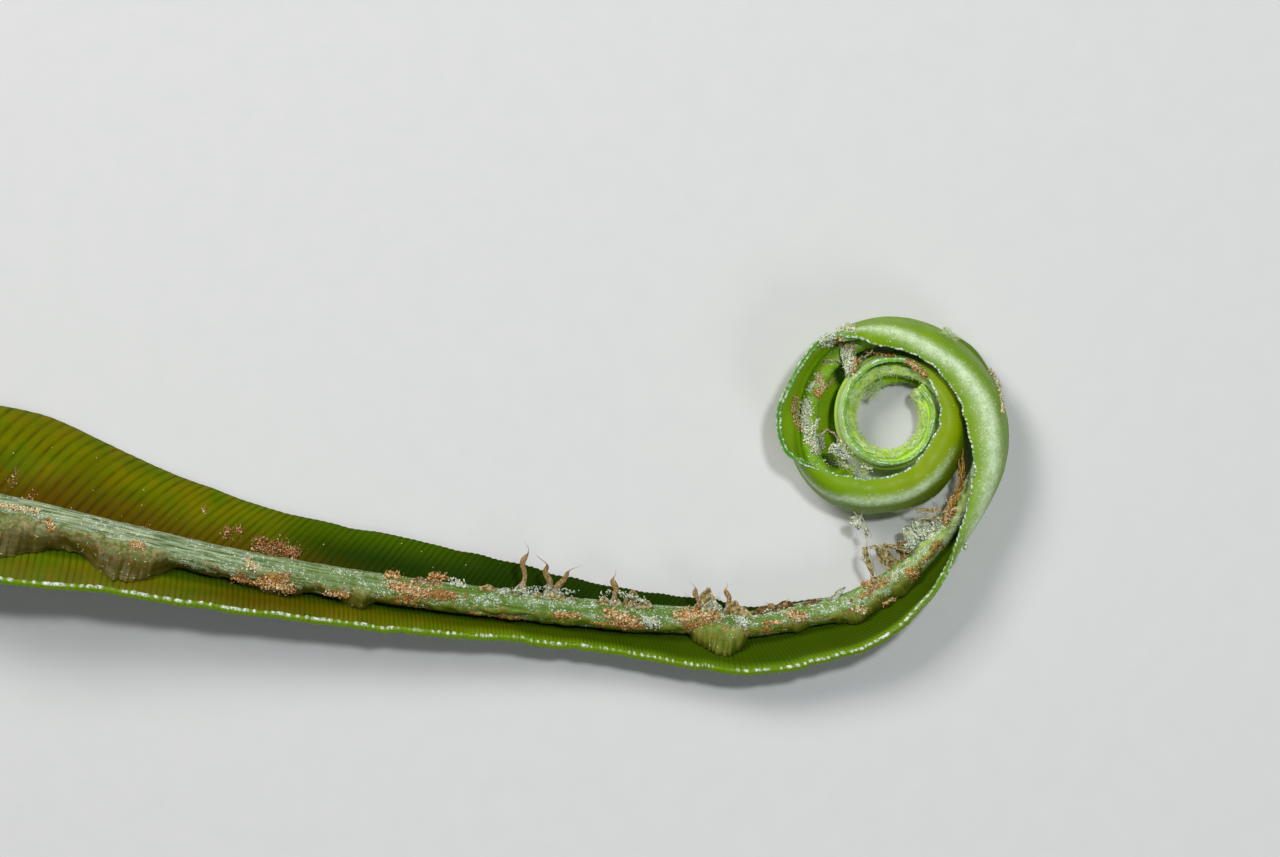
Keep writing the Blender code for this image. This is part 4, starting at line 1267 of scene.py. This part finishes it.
# %% Thread tubes
THREADS = (
    ((-2.9, -8.6, 4.2), (-2.6, -10.2, 4.7), (-1.9, -11.8, 4.9),
     (-2.1, -13.2, 4.8), (-1.5, -14.6, 4.5), (-1.2, -16.6, 4.0)),
    ((-3.9, -8.7, 4.0), (-3.0, -10.4, 4.4), (-2.3, -12.2, 4.9),
     (-2.6, -13.8, 4.7), (-2.0, -15.2, 4.4), (-1.5, -16.8, 3.9)),
    ((-2.0, -13.0, 4.8), (-1.3, -13.1, 5.1), (-0.6, -12.9, 5.2), (0.6, -13.0, 5.0), (1.6, -13.6, 4.7)),
    ((-0.7, -13.0, 5.0), (-0.4, -13.7, 4.9), (-0.6, -14.6, 4.6), (-0.9, -16.2, 4.1)),
    ((2.0, -9.0, 4.0), (3.0, -9.5, 4.5), (4.6, -9.6, 4.8), (6.2, -9.4, 4.6), (6.9, -9.9, 4.2)),
    ((2.6, -10.0, 4.6), (3.6, -10.2, 4.9), (4.9, -10.1, 4.9), (6.0, -10.6, 4.4)),
    ((4.2, -8.0, 4.3), (4.6, -9.4, 4.8), (4.7, -10.6, 4.8), (4.6, -11.6, 4.4)),
    ((5.4, -7.6, 4.3), (5.9, -8.8, 4.8), (5.7, -10.0, 4.8), (5.9, -11.0, 4.4)),
    ((7.4, -2.4, 4.2), (7.3, -4.4, 4.9), (7.2, -6.4, 5.0), (6.6, -8.2, 4.8), (5.9, -9.8, 4.5)),
    ((7.1, -3.4, 4.2), (7.0, -5.4, 4.8), (6.8, -7.0, 4.9), (6.4, -8.6, 4.6), (5.3, -10.2, 4.4)),
    ((7.5, -4.6, 4.5), (7.4, -6.4, 5.0), (6.9, -8.0, 4.9), (6.5, -9.4, 4.6)),
    ((-6.7, -1.6, 4.6), (-6.0, -1.3, 5.0), (-5.4, -1.8, 5.0), (-5.0, -2.5, 4.9), (-4.5, -3.3, 4.5)),
    ((-4.9, -2.3, 4.8), (-5.3, -3.2, 4.9), (-5.0, -4.0, 4.6)),
    ((-6.5, 5.2, 4.4), (-6.4, 5.6, 4.7), (-5.7, 5.7, 4.8), (-4.8, 5.5, 4.6)),
    ((-3.6, 5.2, 4.6), (-2.9, 5.9, 4.9), (-2.2, 6.1, 4.7), (-1.6, 6.8, 4.3)),
)
AMBER_THREADS = (8, 9, 10)
AMBER_GIRTH = 0.10
DRY_GIRTHS = (0.040, 0.048, 0.056)


def smooth_path(knots, steps):
    """Curve through the knots. Its slope at each is half the step from the knot before to the knot after."""
    knots = np.array(knots, float)
    number = np.arange(len(knots), dtype=float)
    slope = np.gradient(knots, axis=0)
    return hermite(number, knots, slope, np.linspace(0, len(knots) - 1, steps))


def thread_tube(knots, radius, seed, rows=44, around=6):
    """A tube on a smooth path with a small random waver, thicker and thinner along its way."""
    number = np.arange(rows, dtype=float)
    waver = np.stack([ripples(seed + k, 3.0, 14.0, number, waves=8) for k in range(3)], axis=-1)
    path = from_coil(smooth_path(knots, rows) + waver * 0.10)
    forward = unit(np.gradient(path, axis=0))
    side = unit(np.cross(forward, np.array([0.31, 0.22, 0.92])))
    ring = ring_round(full_turn(around), side, np.cross(forward, side))
    girth = radius * (1 + 0.35 * ripples(seed + 5, 2.0, 8.0, number, waves=8))
    girth = np.maximum(girth, 0.3 * radius)
    points = path[:, None] + ring * (girth * MM)[:, None, None]
    tone = np.repeat(0.5 + 0.4 * ripples(seed + 6, 4.0, 20.0, number, waves=8), around)
    return points.reshape(-1, 3), closed_tube(rows, around), tone


def fibre_skin():
    """Dry fibre, ochre with paler stretches, or deep amber."""
    material, tree, shader = new_material("fibre_skin")
    pale = plus(tree, mark(tree, "tone"), times(tree, clouds(tree, own_space(tree), 0.3 * MM), 0.3))
    dry = mix(tree, pale, screen(132, 108, 54), screen(206, 200, 168))
    amber = mix(tree, pale, screen(118, 84, 8), screen(170, 126, 24))
    coloured(tree, shader, mix(tree, mark(tree, "amber"), dry, amber), 0.4)
    return material


tubes = []
for i, knots in enumerate(THREADS):
    is_amber = i in AMBER_THREADS
    girth = AMBER_GIRTH if is_amber else DRY_GIRTHS[i % len(DRY_GIRTHS)]
    points, faces, tone = thread_tube(knots, girth, 700 + 11 * i)
    tubes.append((points, faces, tone, np.full(len(points), float(is_amber))))
points, faces, tone, amber = join(tubes)
make_piece("threads", points, faces, fibre_skin(), marks={"tone": tone, "amber": amber})

# %% [markdown]
# ## Scurf
# Up close the silver on the stem and on the coil's crests is thousands of tiny glassy flakes, each lying at
# its own angle. On the stem the silver flakes crowd along the top of the rod as a painted highlight. A flake
# here is a flat lozenge of eight triangles, so thousands of them stay light.

# %% Flakes
FLAKE_POINTS = 6
DRAWS_ON_STEM = 60000
DRAWS_ON_COIL = 40000


def flakes(centres, normals, sizes, seed, flat=0.25, tilt=0.6):
    """Lozenges at the centres: four corners in a tilted plane, and one point above and below it."""
    rng = np.random.default_rng(seed)
    count = len(centres)
    up = unit(normals + tilt * rng.normal(size=(count, 3)) * 0.6)
    side = unit(np.cross(up, rng.normal(size=(count, 3))))
    other = np.cross(up, side)
    long = (sizes * rng.uniform(0.8, 1.3, count))[:, None]
    short = (sizes * rng.uniform(0.5, 0.9, count))[:, None]
    thin = (sizes * flat)[:, None]
    corners = [side * long, other * short, -side * long, -other * short, up * thin, -up * thin]
    points = centres[:, None] + np.stack(corners, axis=1) / 2
    shape = np.array([[0, 1, 4], [1, 2, 4], [2, 3, 4], [3, 0, 4], [1, 0, 5], [2, 1, 5], [3, 2, 5], [0, 3, 5]])
    faces = shape[None] + FLAKE_POINTS * np.arange(count)[:, None, None]
    return points.reshape(-1, 3), faces.reshape(-1, 3), np.repeat(rng.uniform(size=count), FLAKE_POINTS)


def pick(rng, weights, count):
    """Random row numbers, more often where the weight is high."""
    chance = np.cumsum(weights / weights.sum())
    return np.searchsorted(chance, rng.uniform(size=count))


def midrib_flakes(seed, count, rusty, size):
    """Flakes on the midrib, more of them where its silver or rust mark is high, and the silver ones crowded
    as a painted highlight along the top of the rod.
    """
    rng = np.random.default_rng(seed)
    at = np.interp(rng.uniform(0, run[-1], DRAWS_ON_STEM), run, ruler)
    degrees = rng.uniform(0, 215, DRAWS_ON_STEM)
    rust, silver = midrib_marks(at, degrees)
    # Painted highlight: silver flakes crowd along the line near 103 degrees, where the highlight falls on the
    # rod.
    highlight_crest = 0.20 + 0.80 * hill(degrees, 103, 27)
    weights = rust**1.5 if rusty else silver**3 * highlight_crest * (1 + 2 * ramp(at, 3.6, 4.6))
    chosen = pick(rng, weights, count)
    at, degrees = at[chosen], degrees[chosen]
    lift = (0.10 * rust[chosen] + 0.02) * MM
    centres, out = on_midrib(at, degrees, lift)
    sizes = size * rng.lognormal(0, 0.35, count) * np.interp(at, (0, 3, 5), (1.0, 0.9, 1.1))
    return flakes(centres, out, sizes, seed + 1, tilt=1.0 if rusty else 0.7)


def leaf_face(at, share, near):
    """Point on the near half's outer face or the far half's inner face, and the way straight out of it."""
    here = blade_middle(at, share, near)
    step = blade_middle(at, share + 0.02, near) - here
    out = -unit(np.cross(step, heading(at)))
    return here + out * LEAF_HALF, out


def band_flakes(seed, count, size):
    """Flakes on the coil's silvery crests, in the painted highlight band along the outer face of the near
    half.
    """
    rng = np.random.default_rng(seed)
    at = rng.uniform(-1.3, 8.4, DRAWS_ON_COIL)
    off = 0.8 * along(HIGHLIGHT_BAND_WIDTH, at) * rng.normal(size=DRAWS_ON_COIL)
    share = np.clip(along(NEAR_HIGHLIGHT_BAND, at) + off, 0.05, 0.97)
    patchy = 0.35 + np.clip(ripples(seed, 0.06, 0.3, at, share * 0.6), 0, 2)
    chosen = pick(rng, np.clip(along(HIGHLIGHT_BAND_AMOUNT, at), 0, 1) * patchy, count)
    ground, out = leaf_face(at[chosen], share[chosen], True)
    sizes = size * rng.lognormal(0, 0.35, count)
    return flakes(ground + out * 0.02 * MM, out, sizes, seed + 1, tilt=0.7)


def flake_skin(name, dark, light, tip, smoothest):
    """A thin glassy chip whose shade differs from chip to chip: a few have the tip colour."""
    material, tree, shader = new_material(name)
    tone = plus(tree, mark(tree, "tone"), times(tree, clouds(tree, own_space(tree), 0.3 * MM), 0.2))
    colour = mix(tree, stretch(tree, tone, 0.85, 1.05), mix(tree, tone, dark, light), tip)
    rough = stretch(tree, mark(tree, "tone"), 0.0, 1.0, smoothest + 0.2, smoothest)
    coloured(tree, shader, colour, rough, 0.8)
    return material


SILVERS = screen(184, 216, 140), screen(242, 250, 240), screen(250, 254, 250)
RUSTS = screen(104, 58, 10), screen(206, 138, 58), screen(236, 212, 172)
SILVER_FLAKE = flake_skin("silver_flake_skin", *SILVERS, 0.12)
RUST_FLAKE = flake_skin("rust_flake_skin", *RUSTS, 0.35)

# %% Scurf on the stem and on the coil
on_stem = midrib_flakes(301, 9000, False, 0.095 * MM)
on_coil = band_flakes(311, 4000, 0.065 * MM)
points, faces, tone = join([on_stem, on_coil])
make_piece("silver_scurf", points, faces, SILVER_FLAKE, marks={"tone": tone})
points, faces, tone = midrib_flakes(321, 3600, True, 0.19 * MM)
make_piece("rust_scurf", points, faces, RUST_FLAKE, marks={"tone": tone})

# %% [markdown]
# ## Crumbs on the far half
# Brown crumbs of scurf have fallen on the far half beside the stem, and a few yellow specks lie further out.
# They are flakes as well, the crumbs heaped in small piles.

# %% Crumb piles
# Each row is a place, a share of the way to the margin, a number of flakes and a radius in mm.
PILES = (
    (-7.33, 0.66, 30, 0.25), (-7.06, 0.48, 130, 0.50), (-6.95, 0.54, 90, 0.45), (-6.72, 0.44, 220, 0.70),
    (-6.62, 0.40, 140, 0.60), (-6.52, 0.44, 240, 0.75), (-6.43, 0.38, 140, 0.60), (-6.36, 0.42, 160, 0.55),
    (-5.40, 0.34, 100, 0.50), (-4.95, 0.44, 110, 0.60),
    (-9.19, 0.34, 60, 0.45), (-9.00, 0.20, 80, 0.50), (-8.60, 0.16, 50, 0.40), (-7.85, 0.20, 80, 0.60),
)
SPECKS = (
    (-8.91, 0.69), (-8.48, 0.76), (-8.43, 0.45), (-7.94, 0.47), (-7.58, 0.44), (-7.96, 0.63), (-9.25, 0.55),
    (-5.33, 0.89), (-5.12, 0.83), (-4.66, 0.76), (-4.32, 0.93), (-6.10, 0.62), (-8.10, 0.30),
)
MM_A_PLACE = 10
MM_A_SHARE = 6


def crumb_piles(seed):
    """Rust flakes scattered round each pile's middle, heaped highest there."""
    rng = np.random.default_rng(seed)
    rows = np.repeat(np.array(PILES), [row[2] for row in PILES], axis=0)
    count, radius = len(rows), rows[:, 3:4]
    spread = rng.normal(size=(count, 2)) * radius * 0.55
    at = rows[:, 0] + spread[:, 0] / MM_A_PLACE
    share = np.clip(rows[:, 1] + spread[:, 1] / MM_A_SHARE, 0.05, 0.97)
    ground, out = leaf_face(at, share, False)
    heap = np.exp(-((spread / radius) ** 2).sum(axis=1) * 2) * rng.uniform(0, 1, count) * rows[:, 3]
    centres = ground + out * ((0.06 + 0.7 * heap) * MM)[:, None]
    return flakes(centres, out, 0.20 * MM * rng.lognormal(0, 0.3, count), seed + 1, tilt=1.2, flat=0.45)


def yellow_specks(seed):
    """One small lozenge for each speck of the table."""
    rng = np.random.default_rng(seed)
    at, share = np.array(SPECKS).T
    ground, out = leaf_face(at, share, False)
    sizes = 0.22 * MM * rng.uniform(0.8, 1.2, len(at))
    return flakes(ground + out * 0.05 * MM, out, sizes, seed + 1, flat=0.6)


YELLOWS = screen(176, 170, 60), screen(222, 214, 120), screen(236, 230, 160)
SPECK_SKIN = flake_skin("speck_skin", *YELLOWS, 0.4)
points, faces, tone = crumb_piles(331)
make_piece("far_crumbs", points, faces, RUST_FLAKE, marks={"tone": tone})
points, faces, tone = yellow_specks(341)
make_piece("yellow_specks", points, faces, SPECK_SKIN, marks={"tone": tone})

# %% [markdown]
# ## Crusts of scurf
# Bigger crusts lie on the stem and inside the coil: silvery, cream, orange or brown heaps of chips. They
# are set down like snow. A height map holds the highest surface over each small square of the picture, and
# each chip of a crust rests on it. The middle line of a crust is given in mm from the coil's middle.

# %% Height map from above
CELL = 0.2 * MM
MAP_BORDER = 4 * CELL


def height_map(pieces):
    """Highest point of the pieces over each cell, with small holes filled from the cells around them."""
    clouds_of_points = []
    for piece in pieces:
        for things, kind in ((piece.data.vertices, "co"), (piece.data.polygons, "center")):
            spots_of_kind = np.empty(3 * len(things), np.float32)
            things.foreach_get(kind, spots_of_kind)
            clouds_of_points.append(spots_of_kind.reshape(-1, 3))
    points = np.concatenate(clouds_of_points).astype(float)
    low = points[:, :2].min(axis=0) - MAP_BORDER
    size = np.ceil((points[:, :2].max(axis=0) + MAP_BORDER - low) / CELL).astype(int)
    grid = np.full(size, -1.0)
    cells = ((points[:, :2] - low) / CELL).astype(int)
    np.maximum.at(grid, (cells[:, 0], cells[:, 1]), points[:, 2])
    around = np.stack([np.roll(grid, move, axis=axis) for axis in (0, 1) for move in (-1, 1)])
    return np.where(grid < 0, around.max(axis=0), grid), low


TOP, TOP_CORNER = height_map([near_half, far_half, midrib_piece, near_rim, skirt, withered])
print("height map cells:", TOP.shape)

# %% Crust patches
# Each row is a tone (0 silver, 0.5 cream, 0.75 orange, 1 brown), a number of chips, a half width and a heap
# height in mm, and the middle line.
CRUST_PATCHES = (
    (0.15, 300, 0.45, 0.5, ((-6.8, 7.5), (-6.2, 7.9), (-5.7, 7.4))),
    (0.50, 380, 0.32, 0.3, ((-5.9, 7.5), (-4.7, 7.4), (-3.4, 7.0))),
    (0.18, 620, 0.45, 0.3, ((-4.1, 6.7), (-3.9, 5.5), (-4.2, 4.4))),
    (0.60, 200, 0.20, 0.3, ((-3.3, 6.1), (-3.4, 5.1), (-3.6, 4.5))),
    (0.70, 80, 0.10, 0.3, ((-2.7, 5.7), (-3.4, 5.2))),
    (0.45, 70, 0.07, 0.2, ((-6.5, 5.2), (-6.4, 5.6), (-5.7, 5.7), (-4.9, 5.6))),
    (0.12, 120, 0.18, 0.2, ((-8.1, 2.6), (-7.8, 3.1), (-7.6, 3.4))),
    (0.48, 220, 0.32, 0.3, ((-7.1, 4.2), (-6.9, 3.5), (-6.5, 2.9))),
    (0.66, 160, 0.28, 0.2, ((-7.4, 2.6), (-7.1, 2.2), (-6.7, 2.8))),
    (0.45, 80, 0.10, 0.2, ((-6.2, 2.9), (-5.6, 3.6), (-5.1, 4.1))),
    (0.62, 380, 0.25, 0.3, ((-9.3, 2.1), (-9.6, 0.9), (-9.3, -0.3), (-8.6, -1.3))),
    (0.18, 1200, 0.50, 0.4,
     ((-8.5, 1.5), (-8.2, 0.7), (-8.6, -0.3), (-8.1, -1.4), (-7.6, -2.6), (-7.2, -3.4))),
    (0.20, 120, 0.18, 0.3, ((-7.1, -0.3), (-7.4, -1.2))),
    (0.50, 180, 0.10, 0.3, ((-6.7, -1.6), (-6.0, -1.3), (-5.4, -1.8), (-5.0, -2.5), (-4.5, -3.2))),
    (0.18, 180, 0.18, 0.3, ((-6.8, -1.8), (-6.5, -3.1))),
    (0.12, 380, 0.40, 0.4, ((-5.7, -3.3), (-4.9, -2.9), (-4.1, -4.1))),
    (0.24, 420, 0.32, 0.3, ((-6.2, -4.2), (-5.1, -4.7), (-3.5, -5.0), (-1.8, -5.3))),
    (0.85, 160, 0.12, 0.2, ((-2.3, 6.5), (-0.5, 6.3), (0.6, 6.2))),
    (0.72, 300, 0.24, 0.2, ((1.6, 5.6), (2.6, 5.1), (3.6, 4.1))),
    (0.20, 260, 0.32, 0.4, ((-5.0, 8.8), (-4.2, 9.0), (-3.6, 8.8))),
    (0.10, 200, 0.28, 0.3, ((5.6, 8.8), (6.6, 8.2))),
    (0.42, 260, 0.20, 0.2, ((10.2, 4.9), (11.0, 3.4), (11.3, 1.4), (11.3, 0.4))),
    (0.20, 140, 0.22, 0.3, ((7.7, -12.7), (7.4, -13.2))),
    (0.10, 400, 0.50, 0.4, ((1.8, -12.9), (3.4, -11.8), (4.8, -10.6))),
    (0.66, 520, 0.20, 0.3, ((7.3, -4.2), (7.0, -6.3), (6.3, -8.3), (5.6, -9.8))),
    (0.66, 300, 0.30, 0.5, ((6.4, -9.2), (5.6, -10.6))),
    (0.10, 60, 0.24, 0.4, ((-37.6, -17.3), (-36.4, -17.4))),
    (0.05, 150, 0.24, 0.4, ((-36.1, -17.3), (-33.9, -17.1), (-31.4, -17.7))),
    (0.10, 70, 0.24, 0.4, ((-28.9, -17.9), (-27.4, -17.4), (-26.6, -17.9))),
    (0.08, 100, 0.24, 0.4, ((-26.6, -17.6), (-25.2, -18.1), (-24.2, -18.6))),
    (0.70, 200, 0.30, 0.5, ((-46.0, -15.9), (-44.4, -16.1))),
    (0.12, 140, 0.26, 0.4, ((-44.0, -16.3), (-42.4, -16.9))),
    (0.74, 160, 0.30, 0.4, ((-50.2, -15.7), (-48.9, -16.0))),
    (0.62, 650, 0.55, 0.2, ((-50.0, -16.7), (-48.0, -17.1), (-46.4, -17.8))),
    (0.72, 240, 0.26, 0.2, ((-33.5, -19.8), (-31.0, -19.9))),
    (0.64, 520, 0.50, 0.2, ((-28.4, -19.5), (-26.6, -20.0), (-25.4, -20.6))),
    (0.08, 340, 0.40, 0.2, ((-24.6, -20.1), (-23.2, -20.7))),
    (0.60, 340, 0.40, 0.2, ((-21.4, -19.8), (-19.5, -20.1))),
    (0.64, 520, 0.50, 0.2, ((-20.5, -19.4), (-18.5, -19.8), (-17.0, -20.0))),
    (0.08, 240, 0.36, 0.2, ((-15.2, -20.3), (-14.2, -20.6))),
    (0.60, 380, 0.40, 0.2, ((-10.2, -19.7), (-8.4, -20.0))),
    (0.70, 140, 0.18, 0.2, ((-12.6, -20.5), (-10.6, -20.6))),
    (0.48, 190, 0.26, 0.2, ((-3.3, -19.1), (-2.4, -19.5))),
    (0.60, 240, 0.34, 0.2, ((-2.5, -16.6), (-1.6, -17.0))),
    (0.66, 240, 0.34, 0.2, ((1.8, -15.3), (2.8, -16.0))),
    (0.68, 140, 0.18, 0.2, ((0.6, -18.2), (-0.6, -18.8))),
    (0.64, 220, 0.26, 0.2, ((-83.9, -10.2), (-83.2, -11.2))),
    (0.66, 260, 0.30, 0.2, ((-75.4, -12.6), (-74.4, -12.9))),
    (0.50, 420, 0.26, 0.2, ((-88.9, -8.7), (-86.8, -9.0), (-84.6, -9.4))),
    (0.45, 260, 0.32, 0.2, ((-64.0, -14.3), (-63.2, -15.2))),
    (0.64, 600, 0.42, 0.2, ((-63.0, -16.4), (-61.2, -16.8), (-59.5, -17.2))),
    (0.70, 240, 0.24, 0.2, ((-65.8, -16.2), (-62.4, -16.7))),
    (0.66, 200, 0.22, 0.2, ((-56.4, -17.6), (-54.0, -17.9))),
)
CHIP_SHARE = 1.08


def crust_chips(seed, size):
    """Chips along each patch's line, thinned to its sides, then dropped on the height map."""
    rng = np.random.default_rng(seed)
    spots, lifts, tones = [], [], []
    for tone, count, half, heap, line in CRUST_PATCHES:
        line = np.array(line)
        number = np.arange(len(line), dtype=float)
        count = int(count * CHIP_SHARE)
        along_line = rng.uniform(0, len(line) - 1, count)
        middle = np.stack([np.interp(along_line, number, line[:, k]) for k in range(2)], axis=-1)
        off = rng.normal(size=(count, 2)) * half * 0.5
        ragged = 0.35 * half * ripples(seed + count, 0.15, 0.6, *(middle + off).T)
        spots.append((middle + off + ragged[:, None]) * MM - ORIGIN_FROM_COIL)
        lifts.append(heap * np.exp(-((off / half) ** 2).sum(axis=1) * 2) * rng.uniform(0, 1, count))
        tones.append(np.clip(tone + 0.12 * rng.normal(size=count), 0, 1))
    spots = np.concatenate(spots)
    lifts = np.concatenate(lifts)
    tones = np.concatenate(tones)
    cells = ((spots - TOP_CORNER) / CELL).astype(int)
    ground = TOP[cells[:, 0], cells[:, 1]]
    held = ground > 0
    centres = np.column_stack([spots, ground + (0.02 + lifts) * MM])[held]
    count = len(centres)
    sizes = size * rng.lognormal(0, 0.35, count)
    up = np.tile([0.0, 0.0, 1.0], (count, 1))
    points, faces, shade = flakes(centres, up, sizes, seed + 1, tilt=0.7)
    return points, faces, shade, np.repeat(tones[held], FLAKE_POINTS)


def crust_skin():
    """Chips from silver through cream and orange to brown by one mark, each a little lighter or darker, the
    lightest silver ones white as painted glints.
    """
    material, tree, shader = new_material("crust_skin")
    tone = mark(tree, "tone")
    silver = mix(tree, stretch(tree, tone, 0.06, 0.14), screen(202, 216, 196), screen(240, 250, 212))
    colour = mix(tree, stretch(tree, tone, 0.20, 0.50), silver, screen(240, 220, 168))
    colour = mix(tree, stretch(tree, tone, 0.50, 0.70), colour, screen(214, 144, 60))
    colour = mix(tree, stretch(tree, tone, 0.80, 1.0), colour, screen(128, 86, 30))
    shade = mark(tree, "shade")
    rusty = stretch(tree, tone, 0.35, 0.60, 0.15, 0.75)
    darkest = times(tree, stretch(tree, shade, 0.30, 0.08), rusty)
    colour = mix(tree, darkest, colour, screen(134, 84, 20))
    # Chips with a high random shade are lightened: silver ones to white as painted glints, rusty ones to
    # cream.
    bright = mix(tree, stretch(tree, tone, 0.3, 0.6), screen(244, 248, 238), screen(244, 226, 180))
    colour = mix(tree, stretch(tree, shade, 0.66, 0.96, 0.0, 0.9), colour, bright)
    rough = stretch(tree, clouds(tree, own_space(tree), 0.2 * MM), 0.3, 0.7, 0.2, 0.5)
    coloured(tree, shader, colour, rough, 0.25)
    return material


points, faces, shade, tone = crust_chips(351, 0.21 * MM)
make_piece("crusts", points, faces, crust_skin(), marks={"shade": shade, "tone": tone})

# %% [markdown]
# ## Fuzz in the coil
# The youngest turns still wear their pale fuzz. It edges the hole in the coil's middle, covers the blunt
# tip, and stands in small tufts on the outer turns. A hair is a thin tapered tube of four rows, and all
# hairs are worked out in one go.

# %% Hairs
HAIR_RADIUS = 0.030 * MM
TUFT_HAIR_RADIUS = 0.032 * MM


def hairs(roots, ways, lengths, radius, seed, rows=4, around=4):
    """Tapered tubes: a hair's path is root + (way * t + bend * t^2) * length, with a random bend."""
    rng = np.random.default_rng(seed)
    count = len(roots)
    t = np.linspace(0.0, 1.0, rows)[None, :, None]
    bend = rng.normal(size=(count, 3)) * 0.45
    path = roots[:, None] + (ways[:, None] * t + bend[:, None] * t**2) * lengths[:, None, None]
    side = unit(np.cross(ways, rng.normal(size=(count, 3))))
    ring = ring_round(full_turn(around), side, unit(np.cross(ways, side)))
    girth = radius * (1 - 0.75 * t[..., None])
    points = path[:, :, None] + ring[:, None] * girth
    faces = closed_tube(rows, around)[None] + rows * around * np.arange(count)[:, None, None]
    tone = np.repeat(rng.uniform(size=count), rows * around)
    return points.reshape(-1, 3), faces.reshape(-1, 4), tone


def ring_fuzz(seed, count):
    """Hairs on the inner turns: on the midrib where it faces the hole, and along the far margin."""
    rng = np.random.default_rng(seed)
    at = rng.uniform(4.2, 8.45, count)
    degrees = rng.uniform(-70, 85, count)
    roots, out = on_midrib(at, degrees, -0.02 * MM)
    lengths = rng.uniform(0.12, 0.38, count) * MM
    on_rod = hairs(roots, unit(out + 0.5 * rng.normal(size=(count, 3))), lengths, HAIR_RADIUS, seed + 1)
    at = rng.uniform(4.4, 8.4, count)
    share = 1 - 0.12 * rng.uniform(size=count) ** 2
    roots = blade_middle(at, share, False)
    out = unit(inward(at) + 0.6 * rng.normal(size=(count, 3)))
    lengths = rng.uniform(0.10, 0.34, count) * MM
    on_margin = hairs(roots, out, lengths, HAIR_RADIUS, seed + 2)
    return [on_rod, on_margin]


# Each row is a place, how far across from the midrib in mm, a height over the midrib in mm, a number of
# hairs, and a radius in mm. The last number is the hairs' length in mm.
TUFTS = (
    (5.30, 1.35, -0.9, 90, 0.55, 0.55), (5.48, 1.45, -0.9, 70, 0.45, 0.45),
    (5.15, 1.25, -0.9, 40, 0.40, 0.35), (1.28, -1.75, 1.2, 90, 0.50, 0.35),
    (1.46, -2.05, 2.2, 110, 0.55, 0.40), (1.52, -2.25, 2.6, 60, 0.40, 0.40),
    (0.62, -1.95, 1.6, 90, 0.65, 0.30), (0.55, -2.0, 1.4, 60, 0.5, 0.30),
    (2.62, 2.3, 0.2, 90, 0.6, 0.5), (2.78, 2.1, 0.2, 70, 0.5, 0.5), (2.45, 2.6, 0.3, 60, 0.5, 0.5),
)


def tufts(seed):
    """Hairs in each tuft start near its middle and point every way, most of them up."""
    rng = np.random.default_rng(seed)
    rows = np.repeat(np.array(TUFTS), [row[3] for row in TUFTS], axis=0)
    count = len(rows)
    middle, across, up = midrib_frame(rows[:, 0])
    middle = middle + across * (rows[:, 1:2] * MM) + up * (rows[:, 2:3] * MM)
    roots = middle + rng.normal(size=(count, 3)) * rows[:, 4:5] * 0.42 * MM
    ways = unit(rng.normal(size=(count, 3)) + np.array([0.0, 0.0, 0.5]))
    lengths = rows[:, 5] * rng.uniform(0.5, 1.1, count) * MM
    return hairs(roots, ways, lengths, TUFT_HAIR_RADIUS, seed + 1)


def fuzz_skin():
    """Pale moist fuzz, from light green to silvery white."""
    material, tree, shader = new_material("fuzz_skin")
    shade = plus(tree, mark(tree, "tone"), times(tree, clouds(tree, own_space(tree), 0.5 * MM), 0.2))
    coloured(tree, shader, mix(tree, shade, screen(174, 210, 80), screen(232, 246, 190)), 0.28)
    return material


FUZZ_SKIN = fuzz_skin()
points, faces, tone = join([*ring_fuzz(501, 1050), tufts(511)])
make_piece("coil_fuzz", points, faces, FUZZ_SKIN, marks={"tone": tone})

# %% [markdown]
# ## The blunt tip
# The frond's very end is a soft knob inside the last turn, where blade and midrib run together. It is a ball
# stretched along the route and dimpled by noise.

# %% Tip knob
KNOB_RADII = np.array([0.55, 0.50, 0.95]) * MM
POLE_GAP = 0.03


def make_tip(material, rows=40, around=48):
    """Ball with three radii, for along, across and up: each times cos p, sin p cos t and sin p sin t.

    p runs from pole to pole and t is the turn. A small lid closes each pole.
    """
    middle, across, up = (part[0] for part in midrib_frame(np.array([TIP_PLACE - 0.06])))
    behind = np.cross(up, across)
    polar = np.linspace(POLE_GAP, math.pi - POLE_GAP, rows)[:, None] * np.ones(around)
    turn = full_turn(around)[None, :] * np.ones((rows, 1))
    ball = np.stack([np.cos(polar), np.sin(polar) * np.cos(turn), np.sin(polar) * np.sin(turn)], axis=-1)
    bumps = 1 + 0.07 * ripples(801, 0.4, 1.2, *np.moveaxis(ball, -1, 0), waves=20)
    shape = ball * KNOB_RADII * bumps[..., None]
    centre = middle - across * 0.25 * MM
    points = centre + shape[..., :1] * behind + shape[..., 1:2] * across + shape[..., 2:] * up
    marks = {"tone": np.repeat(np.linspace(1, 0, rows), around)}
    make_piece("tip_knob", points.reshape(-1, 3), closed_tube(rows, around), material, marks=marks)


make_tip(FUZZ_SKIN)
